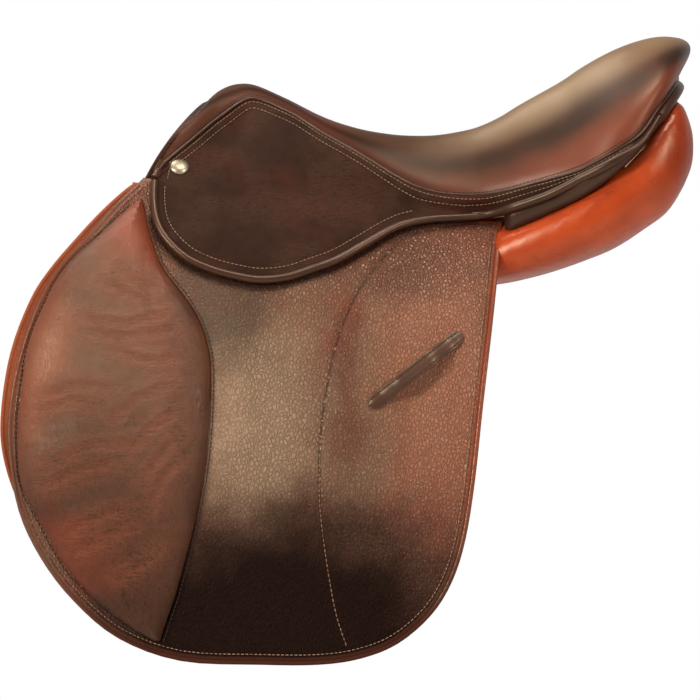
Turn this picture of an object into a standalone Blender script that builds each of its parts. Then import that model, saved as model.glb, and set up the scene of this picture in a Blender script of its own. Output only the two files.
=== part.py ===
"""A forward-cut jumping saddle. Metres, +Z up. The horse looks along -X, and its left side is -Y.

The origin is on the centre plane, under the deepest point of the seat, level with the lowest line of the
panels, where the saddle bears on the horse's back.
"""

import math

import bmesh
import bpy
from mathutils import Matrix, Vector

# Clearances between pieces that lie on each other
CLEARANCE = 0.0003
STRAP_CLEARANCE = 0.0015
GUARD_CLEARANCE = 0.0009

# Leather thicknesses
SKIRT_THICKNESS = 0.004
FLAP_THICKNESS = 0.005
SWEAT_FLAP_THICKNESS = 0.0032
BILLET_THICKNESS = 0.004
GUARD_THICKNESS = 0.0025
SEAT_LEATHER = 0.0025
FACING_THICKNESS = 0.0035

# The fold line, where flap and skirt swing up from the tree, seen from the side
FOLD_HALF_WIDTH = 0.090
FOLD_FRONT = (-0.240, 0.084)
FOLD_REAR = (0.060, 0.050)

# How the flap drapes below the fold: it spreads by this much, over this depth, more quickly at the rear
DRAPE_SPREAD = 0.112
DRAPE_DEPTH_FRONT = 0.140
DRAPE_DEPTH_REAR = 0.100
DRAPE_LEAN = 0.02
FLAP_MIDDLE_X = -0.150
FRONT_WRAP = 0.028
FRONT_WRAP_LENGTH = 0.220
REAR_WRAP = 0.014
REAR_WRAP_LENGTH = 0.210
WRAP_DEPTH = 0.080

# The room for the girth straps between flap and sweat flap: where it opens and closes, and over what length
STRAP_ROOM_FRONT_X = -0.225
STRAP_ROOM_FRONT_LENGTH = 0.060
STRAP_ROOM_REAR_X = 0.046
STRAP_ROOM_REAR_LENGTH = 0.036

# Outlines from the side, x and z
FLAP_EDGE = [
    (-0.243, 0.083), (-0.263, 0.064), (-0.288, 0.034), (-0.309, 0.010), (-0.327, -0.020), (-0.342, -0.065),
    (-0.350, -0.107), (-0.350, -0.145), (-0.341, -0.193), (-0.322, -0.232), (-0.295, -0.266), (-0.258, -0.296),
    (-0.207, -0.314), (-0.142, -0.317), (-0.094, -0.317), (-0.060, -0.312), (-0.030, -0.300), (-0.003, -0.277),
    (0.014, -0.250), (0.025, -0.216), (0.033, -0.168), (0.040, -0.107), (0.047, -0.045), (0.052, 0.015),
    (0.053, 0.036),
]
SWEAT_FLAP_EDGE = [
    (-0.245, 0.082), (-0.256, 0.076), (-0.277, 0.056), (-0.299, 0.031), (-0.320, 0.005), (-0.335, -0.020),
    (-0.350, -0.062), (-0.357, -0.108), (-0.356, -0.144), (-0.343, -0.184), (-0.318, -0.224), (-0.285, -0.262),
    (-0.240, -0.293), (-0.200, -0.304), (-0.140, -0.307), (-0.094, -0.307), (-0.058, -0.301), (-0.030, -0.288),
    (-0.008, -0.268), (0.008, -0.240), (0.017, -0.205), (0.024, -0.165), (0.031, -0.105), (0.038, -0.045),
    (0.043, 0.020), (0.044, 0.036),
]
SKIRT_EDGE = [
    (-0.2365, 0.083), (-0.2365, 0.064), (-0.233, 0.045), (-0.224, 0.029), (-0.207, 0.013), (-0.186, 0.003),
    (-0.164, -0.003), (-0.144, -0.006), (-0.121, -0.004), (-0.099, 0.003), (-0.078, 0.011), (-0.057, 0.023),
    (-0.035, 0.036), (-0.020, 0.042), (0.000, 0.0455), (0.025, 0.047), (0.047, 0.049), (0.061, 0.052),
    (0.080, 0.058), (0.097, 0.064), (0.116, 0.073), (0.134, 0.084),
]
KNEE_PAD_EDGE = [
    (-0.2505, 0.058), (-0.246, 0.040), (-0.234, 0.006), (-0.216, -0.018), (-0.198, -0.046), (-0.191, -0.088),
    (-0.191, -0.124), (-0.195, -0.164), (-0.203, -0.206), (-0.215, -0.252), (-0.230, -0.287), (-0.252, -0.281),
    (-0.276, -0.262), (-0.300, -0.235), (-0.318, -0.206), (-0.334, -0.172), (-0.340, -0.138), (-0.338, -0.098),
    (-0.332, -0.057), (-0.319, -0.023), (-0.303, 0.005), (-0.277, 0.034),
]
KNEE_PAD_HEIGHT = 0.015
# From under its edge to the middle: share of the way out, and rise as a share of the height
KNEE_PAD_CROWN = [(1.0, -0.40), (1.0, 0.08), (0.94, 0.50), (0.82, 0.82), (0.58, 0.97), (0.25, 1.0)]
# How far a cutter reaches into what is cut away
CUT_DEPTH = 0.030

# The notch in flap and sweat flap that leaves the stirrup bar free
NOTCH_FRONT_X = -0.202
NOTCH_REAR_X = -0.114
NOTCH_FLOOR_Z = 0.024

# The seam round the seat, from its front corner to the back of the cantle: x, half width, height
SEAM = [
    (-0.228, 0.079, 0.098), (-0.205, 0.062, 0.1185), (-0.181, 0.041, 0.140), (-0.1545, 0.027, 0.156),
    (-0.122, 0.038, 0.144), (-0.093, 0.051, 0.125), (-0.063, 0.064, 0.107),
    (-0.035, 0.075, 0.089), (-0.015, 0.082, 0.078), (0.004, 0.086, 0.072), (0.023, 0.089, 0.070),
    (0.042, 0.093, 0.070), (0.061, 0.099, 0.073), (0.080, 0.107, 0.078), (0.116, 0.123, 0.088),
    (0.134, 0.129, 0.096), (0.153, 0.132, 0.107), (0.171, 0.129, 0.120), (0.187, 0.119, 0.141),
    (0.198, 0.104, 0.155), (0.2065, 0.078, 0.166), (0.2115, 0.040, 0.173), (0.213, 0.000, 0.176),
]
# Ribs of the seat, one to each point of the seam: spine x and z, how far the sides rise above the middle,
# how far the side stands out over the seam, and how thick the foam is in the middle
SEAT_RIBS = [
    (-0.1865, 0.1570, 0.000, 0.000, 0.006), (-0.1765, 0.1648, 0.000, 0.000, 0.0075),
    (-0.1650, 0.1687, 0.000, 0.001, 0.010), (-0.1500, 0.1673, 0.000, 0.002, 0.012),
    (-0.1240, 0.1558, 0.000, 0.002, 0.018), (-0.0920, 0.1400, 0.000, 0.003, 0.023),
    (-0.0620, 0.1295, 0.001, 0.003, 0.025), (-0.0340, 0.1240, 0.002, 0.002, 0.026),
    (-0.0130, 0.1215, 0.004, 0.000, 0.026), (0.0040, 0.1205, 0.006, 0.000, 0.026),
    (0.0210, 0.1215, 0.008, 0.000, 0.026), (0.0380, 0.1240, 0.010, 0.000, 0.026),
    (0.0560, 0.1285, 0.014, 0.001, 0.027), (0.0730, 0.1345, 0.019, 0.002, 0.028),
    (0.1040, 0.1500, 0.022, 0.003, 0.030), (0.1210, 0.1605, 0.023, 0.004, 0.031),
    (0.1390, 0.1720, 0.022, 0.005, 0.032), (0.1560, 0.1830, 0.020, 0.007, 0.033),
    (0.1720, 0.1930, 0.017, 0.010, 0.033), (0.1840, 0.2005, 0.013, 0.012, 0.032),
    (0.1940, 0.2065, 0.008, 0.014, 0.032), (0.2010, 0.2100, 0.003, 0.016, 0.0318),
    (0.2040, 0.2110, 0.000, 0.017, 0.032),
]
SEAT_CROSS_POINTS = 7
# Crown of a rib over the arch of the head, over the seat and at the cantle: control points from middle to seam
CROWN_HEAD = ((0.40, 0.0), (0.78, 0.42))
CROWN_SEAT = ((0.85, 0.0), (0.72, 0.78))
CROWN_REAR = ((0.62, 0.0), (1.00, 0.35))
# The crown turns from the head's to the seat's from this x, over this length, and then to the cantle's
CROWN_HEAD_X = -0.150
CROWN_HEAD_LENGTH = 0.120
CROWN_REAR_X = 0.060
CROWN_REAR_LENGTH = 0.110
# The first ribs leave the spine squarely and bend forward to the seam, by this power of the way out
RIB_BENDS = (1.90, 1.35, 1.20)
# Share of the leather's thickness left where the first ribs meet in the narrow front corner
SEAT_SKIVES = (0.50, 0.60, 0.80)
# The foam lies under these ribs, reaches this share of the way to the seam, and is at least this thick
FOAM_RIBS = slice(1, -2)
FOAM_REACH = 0.74
FOAM_CROSS_POINTS = 5
FOAM_CLEARANCE = 0.0020
FOAM_LEAST = 0.003
FOAM_OVER_SEAM = 0.0055

# Welts, the piped edges
SEAT_WELT_RADIUS = 0.0016
SKIRT_WELT_RADIUS = 0.0030
# The lower skirt's welt ends this far below the fold, so that it clears the upper skirt when it is folded up
SKIRT_WELT_END = 0.008
# The upper skirt ends under this point of the seam, and its strip behind the flap leans out this much
SKIRT_LAST = 14
SKIRT_TAIL_LEAN = 0.30
# Where the skirt is narrow it is skived, to this share of its height
SKIRT_SKIVE = 0.45

# Tree of laminated beech, with its steel
HEAD_PATH = [
    (-0.217, 0.0955, 0.008), (-0.215, 0.0845, 0.038), (-0.211, 0.0725, 0.066), (-0.204, 0.0590, 0.090),
    (-0.190, 0.0430, 0.113), (-0.178, 0.0260, 0.134), (-0.172, 0.0115, 0.1475), (-0.171, 0.000, 0.149),
]
HEAD_WIDTH = 0.028
HEAD_THICKNESS = 0.008
# Rails: x, half width of the saddle at the rail's centre, height, slope in degrees, board width
RAIL_STATIONS = [
    (-0.172, 0.0495, 0.100, 52, 0.040), (-0.120, 0.0520, 0.0960, 55, 0.042), (-0.060, 0.0600, 0.0770, 57, 0.034),
    (-0.020, 0.0615, 0.0630, 44, 0.030), (0.020, 0.0665, 0.0560, 18, 0.027), (0.060, 0.0750, 0.0570, 6, 0.026),
    (0.110, 0.0990, 0.0690, 0, 0.026), (0.135, 0.1060, 0.0790, -4, 0.026), (0.149, 0.1080, 0.0880, -6, 0.026),
]
RAIL_THICKNESS = 0.010
CANTLE_FIRST = 16
CANTLE_HEIGHT = 0.012
CANTLE_THICKNESS = 0.010
STEEL_THICKNESS = 0.0020
SPRING_THICKNESS = 0.0015
SPRING_WIDTH = 0.016
HEAD_PLATE_WIDTH = 0.022
HEAD_PLATE_REACH = 0.030
GULLET_PLATE_WIDTH = 0.026
GULLET_PLATE_REACH = 0.065
WEB_THICKNESS = 0.0020
SEAT_WEB_HALF_WIDTH = 0.026
WEB_RIBS = slice(3, -1)

# Stirrup bar: a plate on the tree, a bend at the front and a blade that the leather slides over
BAR_PLATE_Y = 0.060
BAR_PLATE_THICKNESS = 0.004
BAR_GAP = 0.011
BAR_BLADE_THICKNESS = 0.005
BAR_FRONT_X = -0.190
BAR_REAR_X = -0.140
BAR_BEND = 0.010
BAR_TOP_Z = 0.052
BAR_HEIGHT = 0.014
BAR_PLATE_TOP_Z = 0.0775
CATCH_LENGTH = 0.024
CATCH_THICKNESS = 0.0025
CATCH_HEIGHT = 0.010
CATCH_PIN_RADIUS = 0.0016
CATCH_PIN_BORE = 0.0020

# Girth straps, their webs and the guard over the buckles
BILLET_X = (-0.108, -0.070, -0.032)
BILLET_WIDTH = 0.027
BILLET_TOP_DEPTH = 0.014
BILLET_LENGTH = 0.285
BILLET_POINT = 0.018
BILLET_HOLES = 6
BILLET_HOLE_PITCH = 0.0255
BILLET_HOLE_RADIUS = 0.0019
GUARD_TOP_DEPTH = 0.070
GUARD_HEIGHT = 0.078
GUARD_MARGIN = 0.007

# Panels: x, centre's half width and height, half width of the cushion, half thickness, slope in degrees
PANEL_STATIONS = [
    (-0.238, 0.094, -0.018, 0.030, 0.006, 56), (-0.226, 0.088, -0.012, 0.056, 0.011, 55),
    (-0.200, 0.0775, -0.004, 0.067, 0.0135, 54), (-0.165, 0.071, 0.000, 0.067, 0.0140, 52),
    (-0.120, 0.068, 0.008, 0.058, 0.0165, 48), (-0.085, 0.0655, 0.014, 0.052, 0.0185, 42),
    (-0.050, 0.0645, 0.0185, 0.046, 0.0202, 36), (-0.015, 0.065, 0.021, 0.042, 0.0215, 30),
    (0.020, 0.067, 0.0225, 0.040, 0.0228, 24), (0.055, 0.070, 0.0235, 0.041, 0.0240, 20),
    (0.080, 0.075, 0.0285, 0.045, 0.0245, 18), (0.105, 0.079, 0.0355, 0.048, 0.0255, 17),
    (0.130, 0.082, 0.0450, 0.050, 0.0275, 16), (0.155, 0.083, 0.0580, 0.050, 0.0310, 15),
    (0.180, 0.082, 0.0790, 0.049, 0.0370, 13), (0.198, 0.079, 0.0960, 0.045, 0.0410, 10),
    (0.212, 0.076, 0.1070, 0.038, 0.0340, 7), (0.2205, 0.074, 0.1060, 0.022, 0.0180, 4),
]
PANEL_POINTS = 16
PANEL_CLEARANCE = 0.0012
PANEL_SQUARENESS = 2.5

# The facing, which covers the tree between skirt and panel and runs round the back of the cantle.
# Its lower edge, half width and height, lies under the seam's points from this one on.
FACING_FIRST = 12
FACING_LOWER = [
    (0.095, 0.0350), (0.102, 0.0430), (0.118, 0.0603), (0.1245, 0.0710), (0.129, 0.0855), (0.126, 0.1030),
    (0.116, 0.1230), (0.101, 0.1400), (0.076, 0.1520), (0.040, 0.1585), (0.000, 0.1600),
]
POMMEL_FACING_WIDTH = 0.009
POMMEL_FACING_THICKNESS = 0.004
POMMEL_FACING_DROP = 0.001
POMMEL_FACING_POINTS = 6

# The saddle nail, and the keeper that holds the stirrup leather's end
NAIL_X = -0.214
NAIL_Z = 0.093
NAIL_RADIUS = 0.0084
NAIL_DOME = 0.0032
NAIL_SHANK_RADIUS = 0.0016
NAIL_SHANK_LENGTH = 0.010
NAIL_BORE = 0.0020
KEEPER_FRONT = (-0.053, -0.107)
KEEPER_REAR = (0.023, -0.048)
KEEPER_WIDTH = 0.012
KEEPER_THICKNESS = 0.0025
KEEPER_RISE = 0.0085
KEEPER_FOOT = 0.014
KEEPER_SINK = 0.003

# Lines along which every sheet's surface is drawn, so that sheets on each other stay parallel
GRID_FRONT_X = -0.370
GRID_STEP = 0.036
GRID_X = [GRID_FRONT_X + GRID_STEP * i for i in range(13)]
GRID_DEPTH = [0.0, 0.014, 0.031, 0.051, 0.076, 0.106, 0.142, 0.184, 0.234, 0.292, 0.356, 0.425]

LEFT = -1
RIGHT = 1
SIDES = {LEFT: "left", RIGHT: "right"}

FINISHES = {
    "seat_leather": ((0.13, 0.06, 0.035), 0.38, 0.0),
    "skirt_leather": ((0.055, 0.032, 0.024), 0.45, 0.0),
    "flap_leather": ((0.15, 0.065, 0.042), 0.48, 0.0),
    "panel_leather": ((0.48, 0.13, 0.03), 0.35, 0.0),
    "strap_leather": ((0.10, 0.045, 0.03), 0.55, 0.0),
    "foam": ((0.75, 0.68, 0.50), 0.95, 0.0),
    "webbing": ((0.72, 0.68, 0.58), 0.90, 0.0),
    "beech": ((0.55, 0.38, 0.22), 0.60, 0.0),
    "steel": ((0.55, 0.55, 0.56), 0.35, 1.0),
    "nickel": ((0.72, 0.66, 0.56), 0.25, 1.0),
}


def clear_scene():
    for obj in list(bpy.data.objects):
        bpy.data.objects.remove(obj)


def material(name):
    """One Principled material for each finish."""
    found = bpy.data.materials.get(name)
    if found:
        return found
    colour, roughness, metallic = FINISHES[name]
    made = bpy.data.materials.new(name)
    made.use_nodes = True
    shader = made.node_tree.nodes["Principled BSDF"]
    shader.inputs["Base Color"].default_value = (*colour, 1.0)
    shader.inputs["Roughness"].default_value = roughness
    shader.inputs["Metallic"].default_value = metallic
    return made


# Curves and numbers

def smooth(points, steps):
    """A Catmull-Rom curve through the points, ends included."""
    points = [Vector(p) for p in points]
    ends = [2 * points[0] - points[1], *points, 2 * points[-1] - points[-2]]
    curve = []
    for before, start, end, after in zip(ends, ends[1:], ends[2:], ends[3:]):
        for i in range(steps):
            t = i / steps
            curve.append(0.5 * (2 * start + (end - before) * t + (2 * before - 5 * start + 4 * end - after) * t**2
                                + (3 * start - before - 3 * end + after) * t**3))
    return curve + [points[-1]]


def lookup(knots, x, column=1):
    """The smooth value in a column of the knots, at x in their first column."""
    xs = [k[0] for k in knots]
    vs = [k[column] for k in knots]
    x = min(max(x, xs[0]), xs[-1])
    i = max(j for j in range(len(xs) - 1) if xs[j] <= x)
    chords = [(b - a) / (q - p) for a, b, p, q in zip(vs, vs[1:], xs, xs[1:])]
    slopes = [chords[0], *[(a + b) / 2 for a, b in zip(chords, chords[1:])], chords[-1]]
    width = xs[i + 1] - xs[i]
    t = (x - xs[i]) / width
    return ((2 * t**3 - 3 * t**2 + 1) * vs[i] + (t**3 - 2 * t**2 + t) * width * slopes[i]
            + (3 * t**2 - 2 * t**3) * vs[i + 1] + (t**3 - t**2) * width * slopes[i + 1])


def ease(t):
    t = min(max(t, 0.0), 1.0)
    return t * t * (3 - 2 * t)


def inset_line(points, distance):
    """A flat line of (x, z) moved to its left by a distance."""
    points = [Vector(p) for p in points]
    moved = []
    for i, point in enumerate(points):
        along = (points[min(i + 1, len(points) - 1)] - points[max(i - 1, 0)]).normalized()
        moved.append(point + distance * Vector((-along.y, along.x)))
    return moved


# The drape of flap, skirt and sweat flap

def fold_z(x):
    share = (x - FOLD_FRONT[0]) / (FOLD_REAR[0] - FOLD_FRONT[0])
    return FOLD_FRONT[1] + (FOLD_REAR[1] - FOLD_FRONT[1]) * share


def drape(x, depth):
    """Half width of the skirt's outer face, at a depth below the fold line."""
    rearward = ease((x - FLAP_MIDDLE_X) / (FOLD_REAR[0] - FLAP_MIDDLE_X))
    reach = DRAPE_DEPTH_FRONT + (DRAPE_DEPTH_REAR - DRAPE_DEPTH_FRONT) * rearward
    if x < FLAP_MIDDLE_X:
        wrap = FRONT_WRAP * ((FLAP_MIDDLE_X - x) / FRONT_WRAP_LENGTH) ** 2
    else:
        wrap = REAR_WRAP * ((x - FLAP_MIDDLE_X) / REAR_WRAP_LENGTH) ** 2
    spread = DRAPE_SPREAD * (1 - math.exp(-depth / reach))
    return FOLD_HALF_WIDTH + spread + DRAPE_LEAN * depth - wrap * (1 - math.exp(-max(depth, 0) / WRAP_DEPTH))


def drape_point(x, depth, offset):
    """A point on the drape, set in from the skirt's outer face along the surface's normal."""
    step = 0.001
    here = Vector((x, drape(x, depth), fold_z(x) - depth))
    along = Vector((x + step, drape(x + step, depth), fold_z(x + step) - depth)) - here
    down = Vector((x, drape(x, depth + step), fold_z(x) - depth - step)) - here
    normal = down.cross(along).normalized()
    if normal.y < 0:
        normal = -normal
    return here - normal * offset


def drape_at(x, z, offset):
    """The same, at a height: the depth is found in a few steps."""
    depth = fold_z(x) - z
    for _ in range(6):
        depth += drape_point(x, depth, offset).z - z
    return drape_point(x, depth, offset)


def strap_room(x):
    """Share of the room for the girth straps, between flap and sweat flap. It closes towards both edges."""
    opening = ease((x - STRAP_ROOM_FRONT_X) / STRAP_ROOM_FRONT_LENGTH)
    return opening * ease((STRAP_ROOM_REAR_X - x) / STRAP_ROOM_REAR_LENGTH)


FLAP_OUTER = SKIRT_THICKNESS + CLEARANCE
FLAP_INNER = FLAP_OUTER + FLAP_THICKNESS
GUARD_OUTER = FLAP_INNER + STRAP_CLEARANCE
BILLET_OUTER = GUARD_OUTER + GUARD_THICKNESS + GUARD_CLEARANCE
STRAP_DEPTH = BILLET_OUTER + BILLET_THICKNESS + STRAP_CLEARANCE - FLAP_INNER


def sweat_flap_offset(x):
    return FLAP_INNER + CLEARANCE + STRAP_DEPTH * strap_room(x)


# Building solids

def finish(name, bm, side, finish_name, parent=None, smooth_angle=40):
    """Turns a bmesh into an object on its side of the saddle, closed and facing out."""
    bmesh.ops.remove_doubles(bm, verts=bm.verts, dist=1e-6)
    if side == LEFT:
        bmesh.ops.scale(bm, vec=(1, -1, 1), verts=bm.verts)
    bmesh.ops.recalc_face_normals(bm, faces=bm.faces)
    if bm.calc_volume(signed=True) < 0:
        bmesh.ops.reverse_faces(bm, faces=bm.faces)
    mesh = bpy.data.meshes.new(name)
    bm.to_mesh(mesh)
    bm.free()
    mesh.shade_smooth()
    mesh.set_sharp_from_angle(angle=math.radians(smooth_angle))
    mesh.materials.append(material(finish_name))
    obj = bpy.data.objects.new(name, mesh)
    bpy.context.scene.collection.objects.link(obj)
    if parent is not None:
        obj.parent = parent
        obj.matrix_parent_inverse = parent.matrix_world.inverted()
    return obj


def empty(name, place):
    """An empty on a joint's axis, the parent of the pieces that turn with it."""
    obj = bpy.data.objects.new(name, None)
    obj.location = place
    obj.matrix_world = Matrix.Translation(place)
    bpy.context.scene.collection.objects.link(obj)
    return obj


def shell(outer, inner, rear_wall=True):
    """A closed solid between two grids of points of the same size. It needs no wall where its last row folds shut."""
    bm = bmesh.new()
    rows, columns = len(outer), len(outer[0])
    top = [[bm.verts.new(p) for p in row] for row in outer]
    under = [[bm.verts.new(p) for p in row] for row in inner]

    def face(a, b, c, d):
        """Two triangles, split the same way in every sheet, so that sheets on each other stay parallel."""
        bm.faces.new((a, b, c))
        bm.faces.new((a, c, d))

    for i in range(rows - 1):
        for j in range(columns - 1):
            face(top[i][j], top[i][j + 1], top[i + 1][j + 1], top[i + 1][j])
            face(under[i + 1][j + 1], under[i][j + 1], under[i][j], under[i + 1][j])
    for i in range(rows - 1):
        for j, flip in ((0, False), (columns - 1, True)):
            ring = [top[i][j], top[i + 1][j], under[i + 1][j], under[i][j]]
            face(*(reversed(ring) if flip else ring))
    for j in range(columns - 1):
        for i, flip in ((0, True), (rows - 1, False))[:1 + rear_wall]:
            ring = [top[i][j], top[i][j + 1], under[i][j + 1], under[i][j]]
            face(*(reversed(ring) if flip else ring))
    return bm


def loft(sections):
    """A closed solid through closed rings of points, capped at both ends."""
    bm = bmesh.new()
    rings = [[bm.verts.new(p) for p in section] for section in sections]
    count = len(rings[0])
    for first, second in zip(rings, rings[1:]):
        for j in range(count):
            k = (j + 1) % count
            bm.faces.new((first[j], first[k], second[k], second[j]))
    bm.faces.new(list(reversed(rings[0])))
    bm.faces.new(rings[-1])
    return bm


def swept(path, section, across):
    """Rings of a flat section along a path. across gives the section's first axis for each tangent."""
    rings = []
    for i, point in enumerate(path):
        tangent = (path[min(i + 1, len(path) - 1)] - path[max(i - 1, 0)]).normalized()
        first = across(i, tangent)
        first = (first - first.dot(tangent) * tangent).normalized()
        second = tangent.cross(first)
        rings.append([point + a * first + b * second for a, b in section])
    return rings


def rectangle(width, thickness, shift=0.0):
    """A section's corners, moved along its second axis by the shift."""
    half, low, high = width / 2, shift - thickness / 2, shift + thickness / 2
    return [(-half, low), (half, low), (half, high), (-half, high)]


def disc(radius, count):
    return [(radius * math.cos(2 * math.pi * i / count), radius * math.sin(2 * math.pi * i / count))
            for i in range(count)]


def box(low, high):
    bm = bmesh.new()
    bmesh.ops.create_cube(bm, size=1.0)
    size = Vector(high) - Vector(low)
    bmesh.ops.scale(bm, vec=size, verts=bm.verts)
    bmesh.ops.translate(bm, vec=(Vector(high) + Vector(low)) / 2, verts=bm.verts)
    return bm


def cylinder(start, end, radius, count):
    axis = Vector(end) - Vector(start)
    across = axis.orthogonal()
    return loft(swept([Vector(start), Vector(end)], disc(radius, count), lambda i, t: across))


def cutter(name, bm, side):
    """A helper solid for a Boolean, which isn't part of the saddle."""
    obj = finish(name, bm, side, "foam")
    obj.hide_render = True
    obj.display_type = "WIRE"
    return obj


def combine(obj, other, operation):
    modifier = obj.modifiers.new(operation.lower() + "_" + other.name, "BOOLEAN")
    modifier.operation = operation
    modifier.object = other


def both_sides(build, *args):
    for side in (LEFT, RIGHT):
        build(side, *args)


# Sheets that follow the drape

def drape_slab(edge, outer, inner, top_depth):
    """A slab between two layers of the drape, big enough for an outline of (x, z) points."""
    depths = [top_depth] + [d for d in GRID_DEPTH if d > top_depth + 0.004]
    low, high = min(p[0] for p in edge), max(p[0] for p in edge)
    first = max(i for i, x in enumerate(GRID_X) if x < low - 0.002)
    last = min(i for i, x in enumerate(GRID_X) if x > high + 0.002)
    xs = GRID_X[first:last + 1]
    bottom = min(p[1] for p in edge)
    deepest = min(i for i, d in enumerate(depths) if fold_z(xs[-1]) - d < bottom - 0.002)
    depths = depths[:deepest + 1]
    return shell(*[[[drape_point(x, d, layer(x)) for x in xs] for d in depths] for layer in (outer, inner)])


def drape_sheet(name, side, edge, outer, inner, finish_name, parent=None, top_depth=0.0):
    """A leather sheet on the drape, from top_depth down, cut to an outline of (x, z) points."""
    sheet = finish(name, drape_slab(edge, outer, inner, top_depth), side, finish_name, parent)
    prism = loft([[Vector((p[0], y, p[1])) for p in edge] for y in (0.02, 0.30)])
    combine(sheet, cutter(name + "_outline", prism, side), "INTERSECT")
    return sheet


def with_notch(edge, top):
    """Closes an outline over the fold line, with the notch for the stirrup bar."""
    return [*edge, Vector((edge[-1][0], top)), Vector((NOTCH_REAR_X, top)), Vector((NOTCH_REAR_X, NOTCH_FLOOR_Z)),
            Vector((NOTCH_FRONT_X, NOTCH_FLOOR_Z)), Vector((NOTCH_FRONT_X, top)), Vector((edge[0][0], top))]


def flap(side, pivot):
    edge = smooth(FLAP_EDGE, 2)
    outline = with_notch(edge, FOLD_FRONT[1] + 0.02)
    drape_sheet(SIDES[side] + "_flap", side, outline, lambda x: FLAP_OUTER, lambda x: FLAP_INNER,
                "flap_leather", pivot, CLEARANCE)


def sweat_flap(side):
    edge = smooth(SWEAT_FLAP_EDGE, 2)
    outline = with_notch(edge, FOLD_FRONT[1] + 0.02)
    drape_sheet(SIDES[side] + "_sweat_flap", side, outline, sweat_flap_offset,
                lambda x: sweat_flap_offset(x) + SWEAT_FLAP_THICKNESS, "strap_leather", None, 0.005)


def seat_on_flap(piece, side, edge):
    """Cuts away what reaches into the flap, so that the piece lies on it all over."""
    slab = drape_slab(edge, lambda x: FLAP_OUTER - CLEARANCE, lambda x: FLAP_OUTER + CUT_DEPTH, 0.0)
    combine(piece, cutter(piece.name + "_bed", slab, side), "DIFFERENCE")


def knee_pad(side, pivot):
    """The padded front of the flap, full in the middle and drawn in to its seam."""
    edge = [Vector(p) for p in KNEE_PAD_EDGE]
    middle = sum(edge, Vector((0, 0))) / len(edge)
    rings = []
    for share, rise in KNEE_PAD_CROWN:
        ring = []
        for point in edge:
            x, z = middle + (point - middle) * share
            ring.append(drape_at(x, z, FLAP_OUTER - rise * KNEE_PAD_HEIGHT))
        rings.append(ring)
    pad = finish(SIDES[side] + "_knee_pad", loft(rings), side, "flap_leather", pivot)
    seat_on_flap(pad, side, edge)


def keeper(side, pivot):
    """A narrow leather loop on the flap: both ends lie flat and the middle stands clear."""
    front, rear = Vector(KEEPER_FRONT), Vector(KEEPER_REAR)
    length = (rear - front).length
    along = (rear - front) / length
    across = Vector((-along.y, along.x))
    stations = [0.0, KEEPER_FOOT * 0.6, KEEPER_FOOT, KEEPER_FOOT * 1.6, length * 0.36, length * 0.5]
    stations += [length - s for s in reversed(stations[:-1])]
    rings, edge = [], []
    for s in stations:
        t = (min(s, length - s) - KEEPER_FOOT) / (length * 0.36 - KEEPER_FOOT)
        rise = (KEEPER_RISE + KEEPER_SINK) * ease(t) - KEEPER_SINK
        half = KEEPER_WIDTH / 2 * (0.55 + 0.45 * ease(min(s, length - s) / KEEPER_FOOT))
        thickness = KEEPER_THICKNESS + KEEPER_SINK * (1 - ease(t))
        ring = []
        for sign, level in ((-1, 0.0), (1, 0.0), (1, thickness), (-1, thickness)):
            x, z = front + along * s + across * sign * half
            ring.append(drape_at(x, z, FLAP_OUTER - rise - level))
            edge.append((x, z))
        rings.append(ring)
    strap = finish(SIDES[side] + "_leather_keeper", loft(rings), side, "strap_leather", pivot)
    seat_on_flap(strap, side, edge)


# The skirt, in an upper part sewn to the seat and a lower part that folds up

def skirt_outline():
    return smooth(SKIRT_EDGE, 2)


def skirt_split():
    """How many of the outline's points lie below the fold line, before the skirt's tail."""
    edge = skirt_outline()
    return max(i for i, p in enumerate(edge) if p.y < fold_z(p.x) - 0.0005) + 1


def skirt_lower(side, pivot):
    edge = skirt_outline()[:skirt_split()]
    leather = inset_line(edge, 2 * SKIRT_WELT_RADIUS + CLEARANCE)
    end = leather[-1]
    top = FOLD_FRONT[1] + 0.02
    outline = [Vector((leather[0].x, top)), *leather, Vector((end.x, top))]
    drape_sheet(SIDES[side] + "_skirt_lower", side, outline, lambda x: 0.0, lambda x: SKIRT_THICKNESS,
                "skirt_leather", pivot, CLEARANCE)
    middle = inset_line(edge, SKIRT_WELT_RADIUS)
    inward = SKIRT_THICKNESS / 2 - 0.001
    path = [drape_point(p.x, fold_z(p.x) - p.y, inward) for p in middle if fold_z(p.x) - p.y > SKIRT_WELT_END]
    welt = loft(swept(path, disc(SKIRT_WELT_RADIUS, 6), lambda i, t: Vector((0, 1, 0))))
    finish(SIDES[side] + "_skirt_lower_welt", welt, side, "skirt_leather", pivot)


def skirt_bottom(index):
    """The upper skirt's lower edge under a point of the seam: the fold line, then the skirt's own edge."""
    x, seam_y, seam_z = SEAM[index]
    tail = [(p.x, p.y) for p in skirt_outline()[skirt_split() - 1:]]
    if x < tail[0][0] + 0.004:
        return Vector((x, FOLD_HALF_WIDTH, fold_z(x) + CLEARANCE))
    slope = (lookup(tail, x + 0.001) - lookup(tail, x - 0.001)) / 0.002
    z = lookup(tail, x) + (2 * SKIRT_WELT_RADIUS + CLEARANCE) * math.sqrt(1 + slope**2)
    return Vector((x, seam_y + SKIRT_TAIL_LEAN * max(seam_z - z, 0.0), z))


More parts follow.
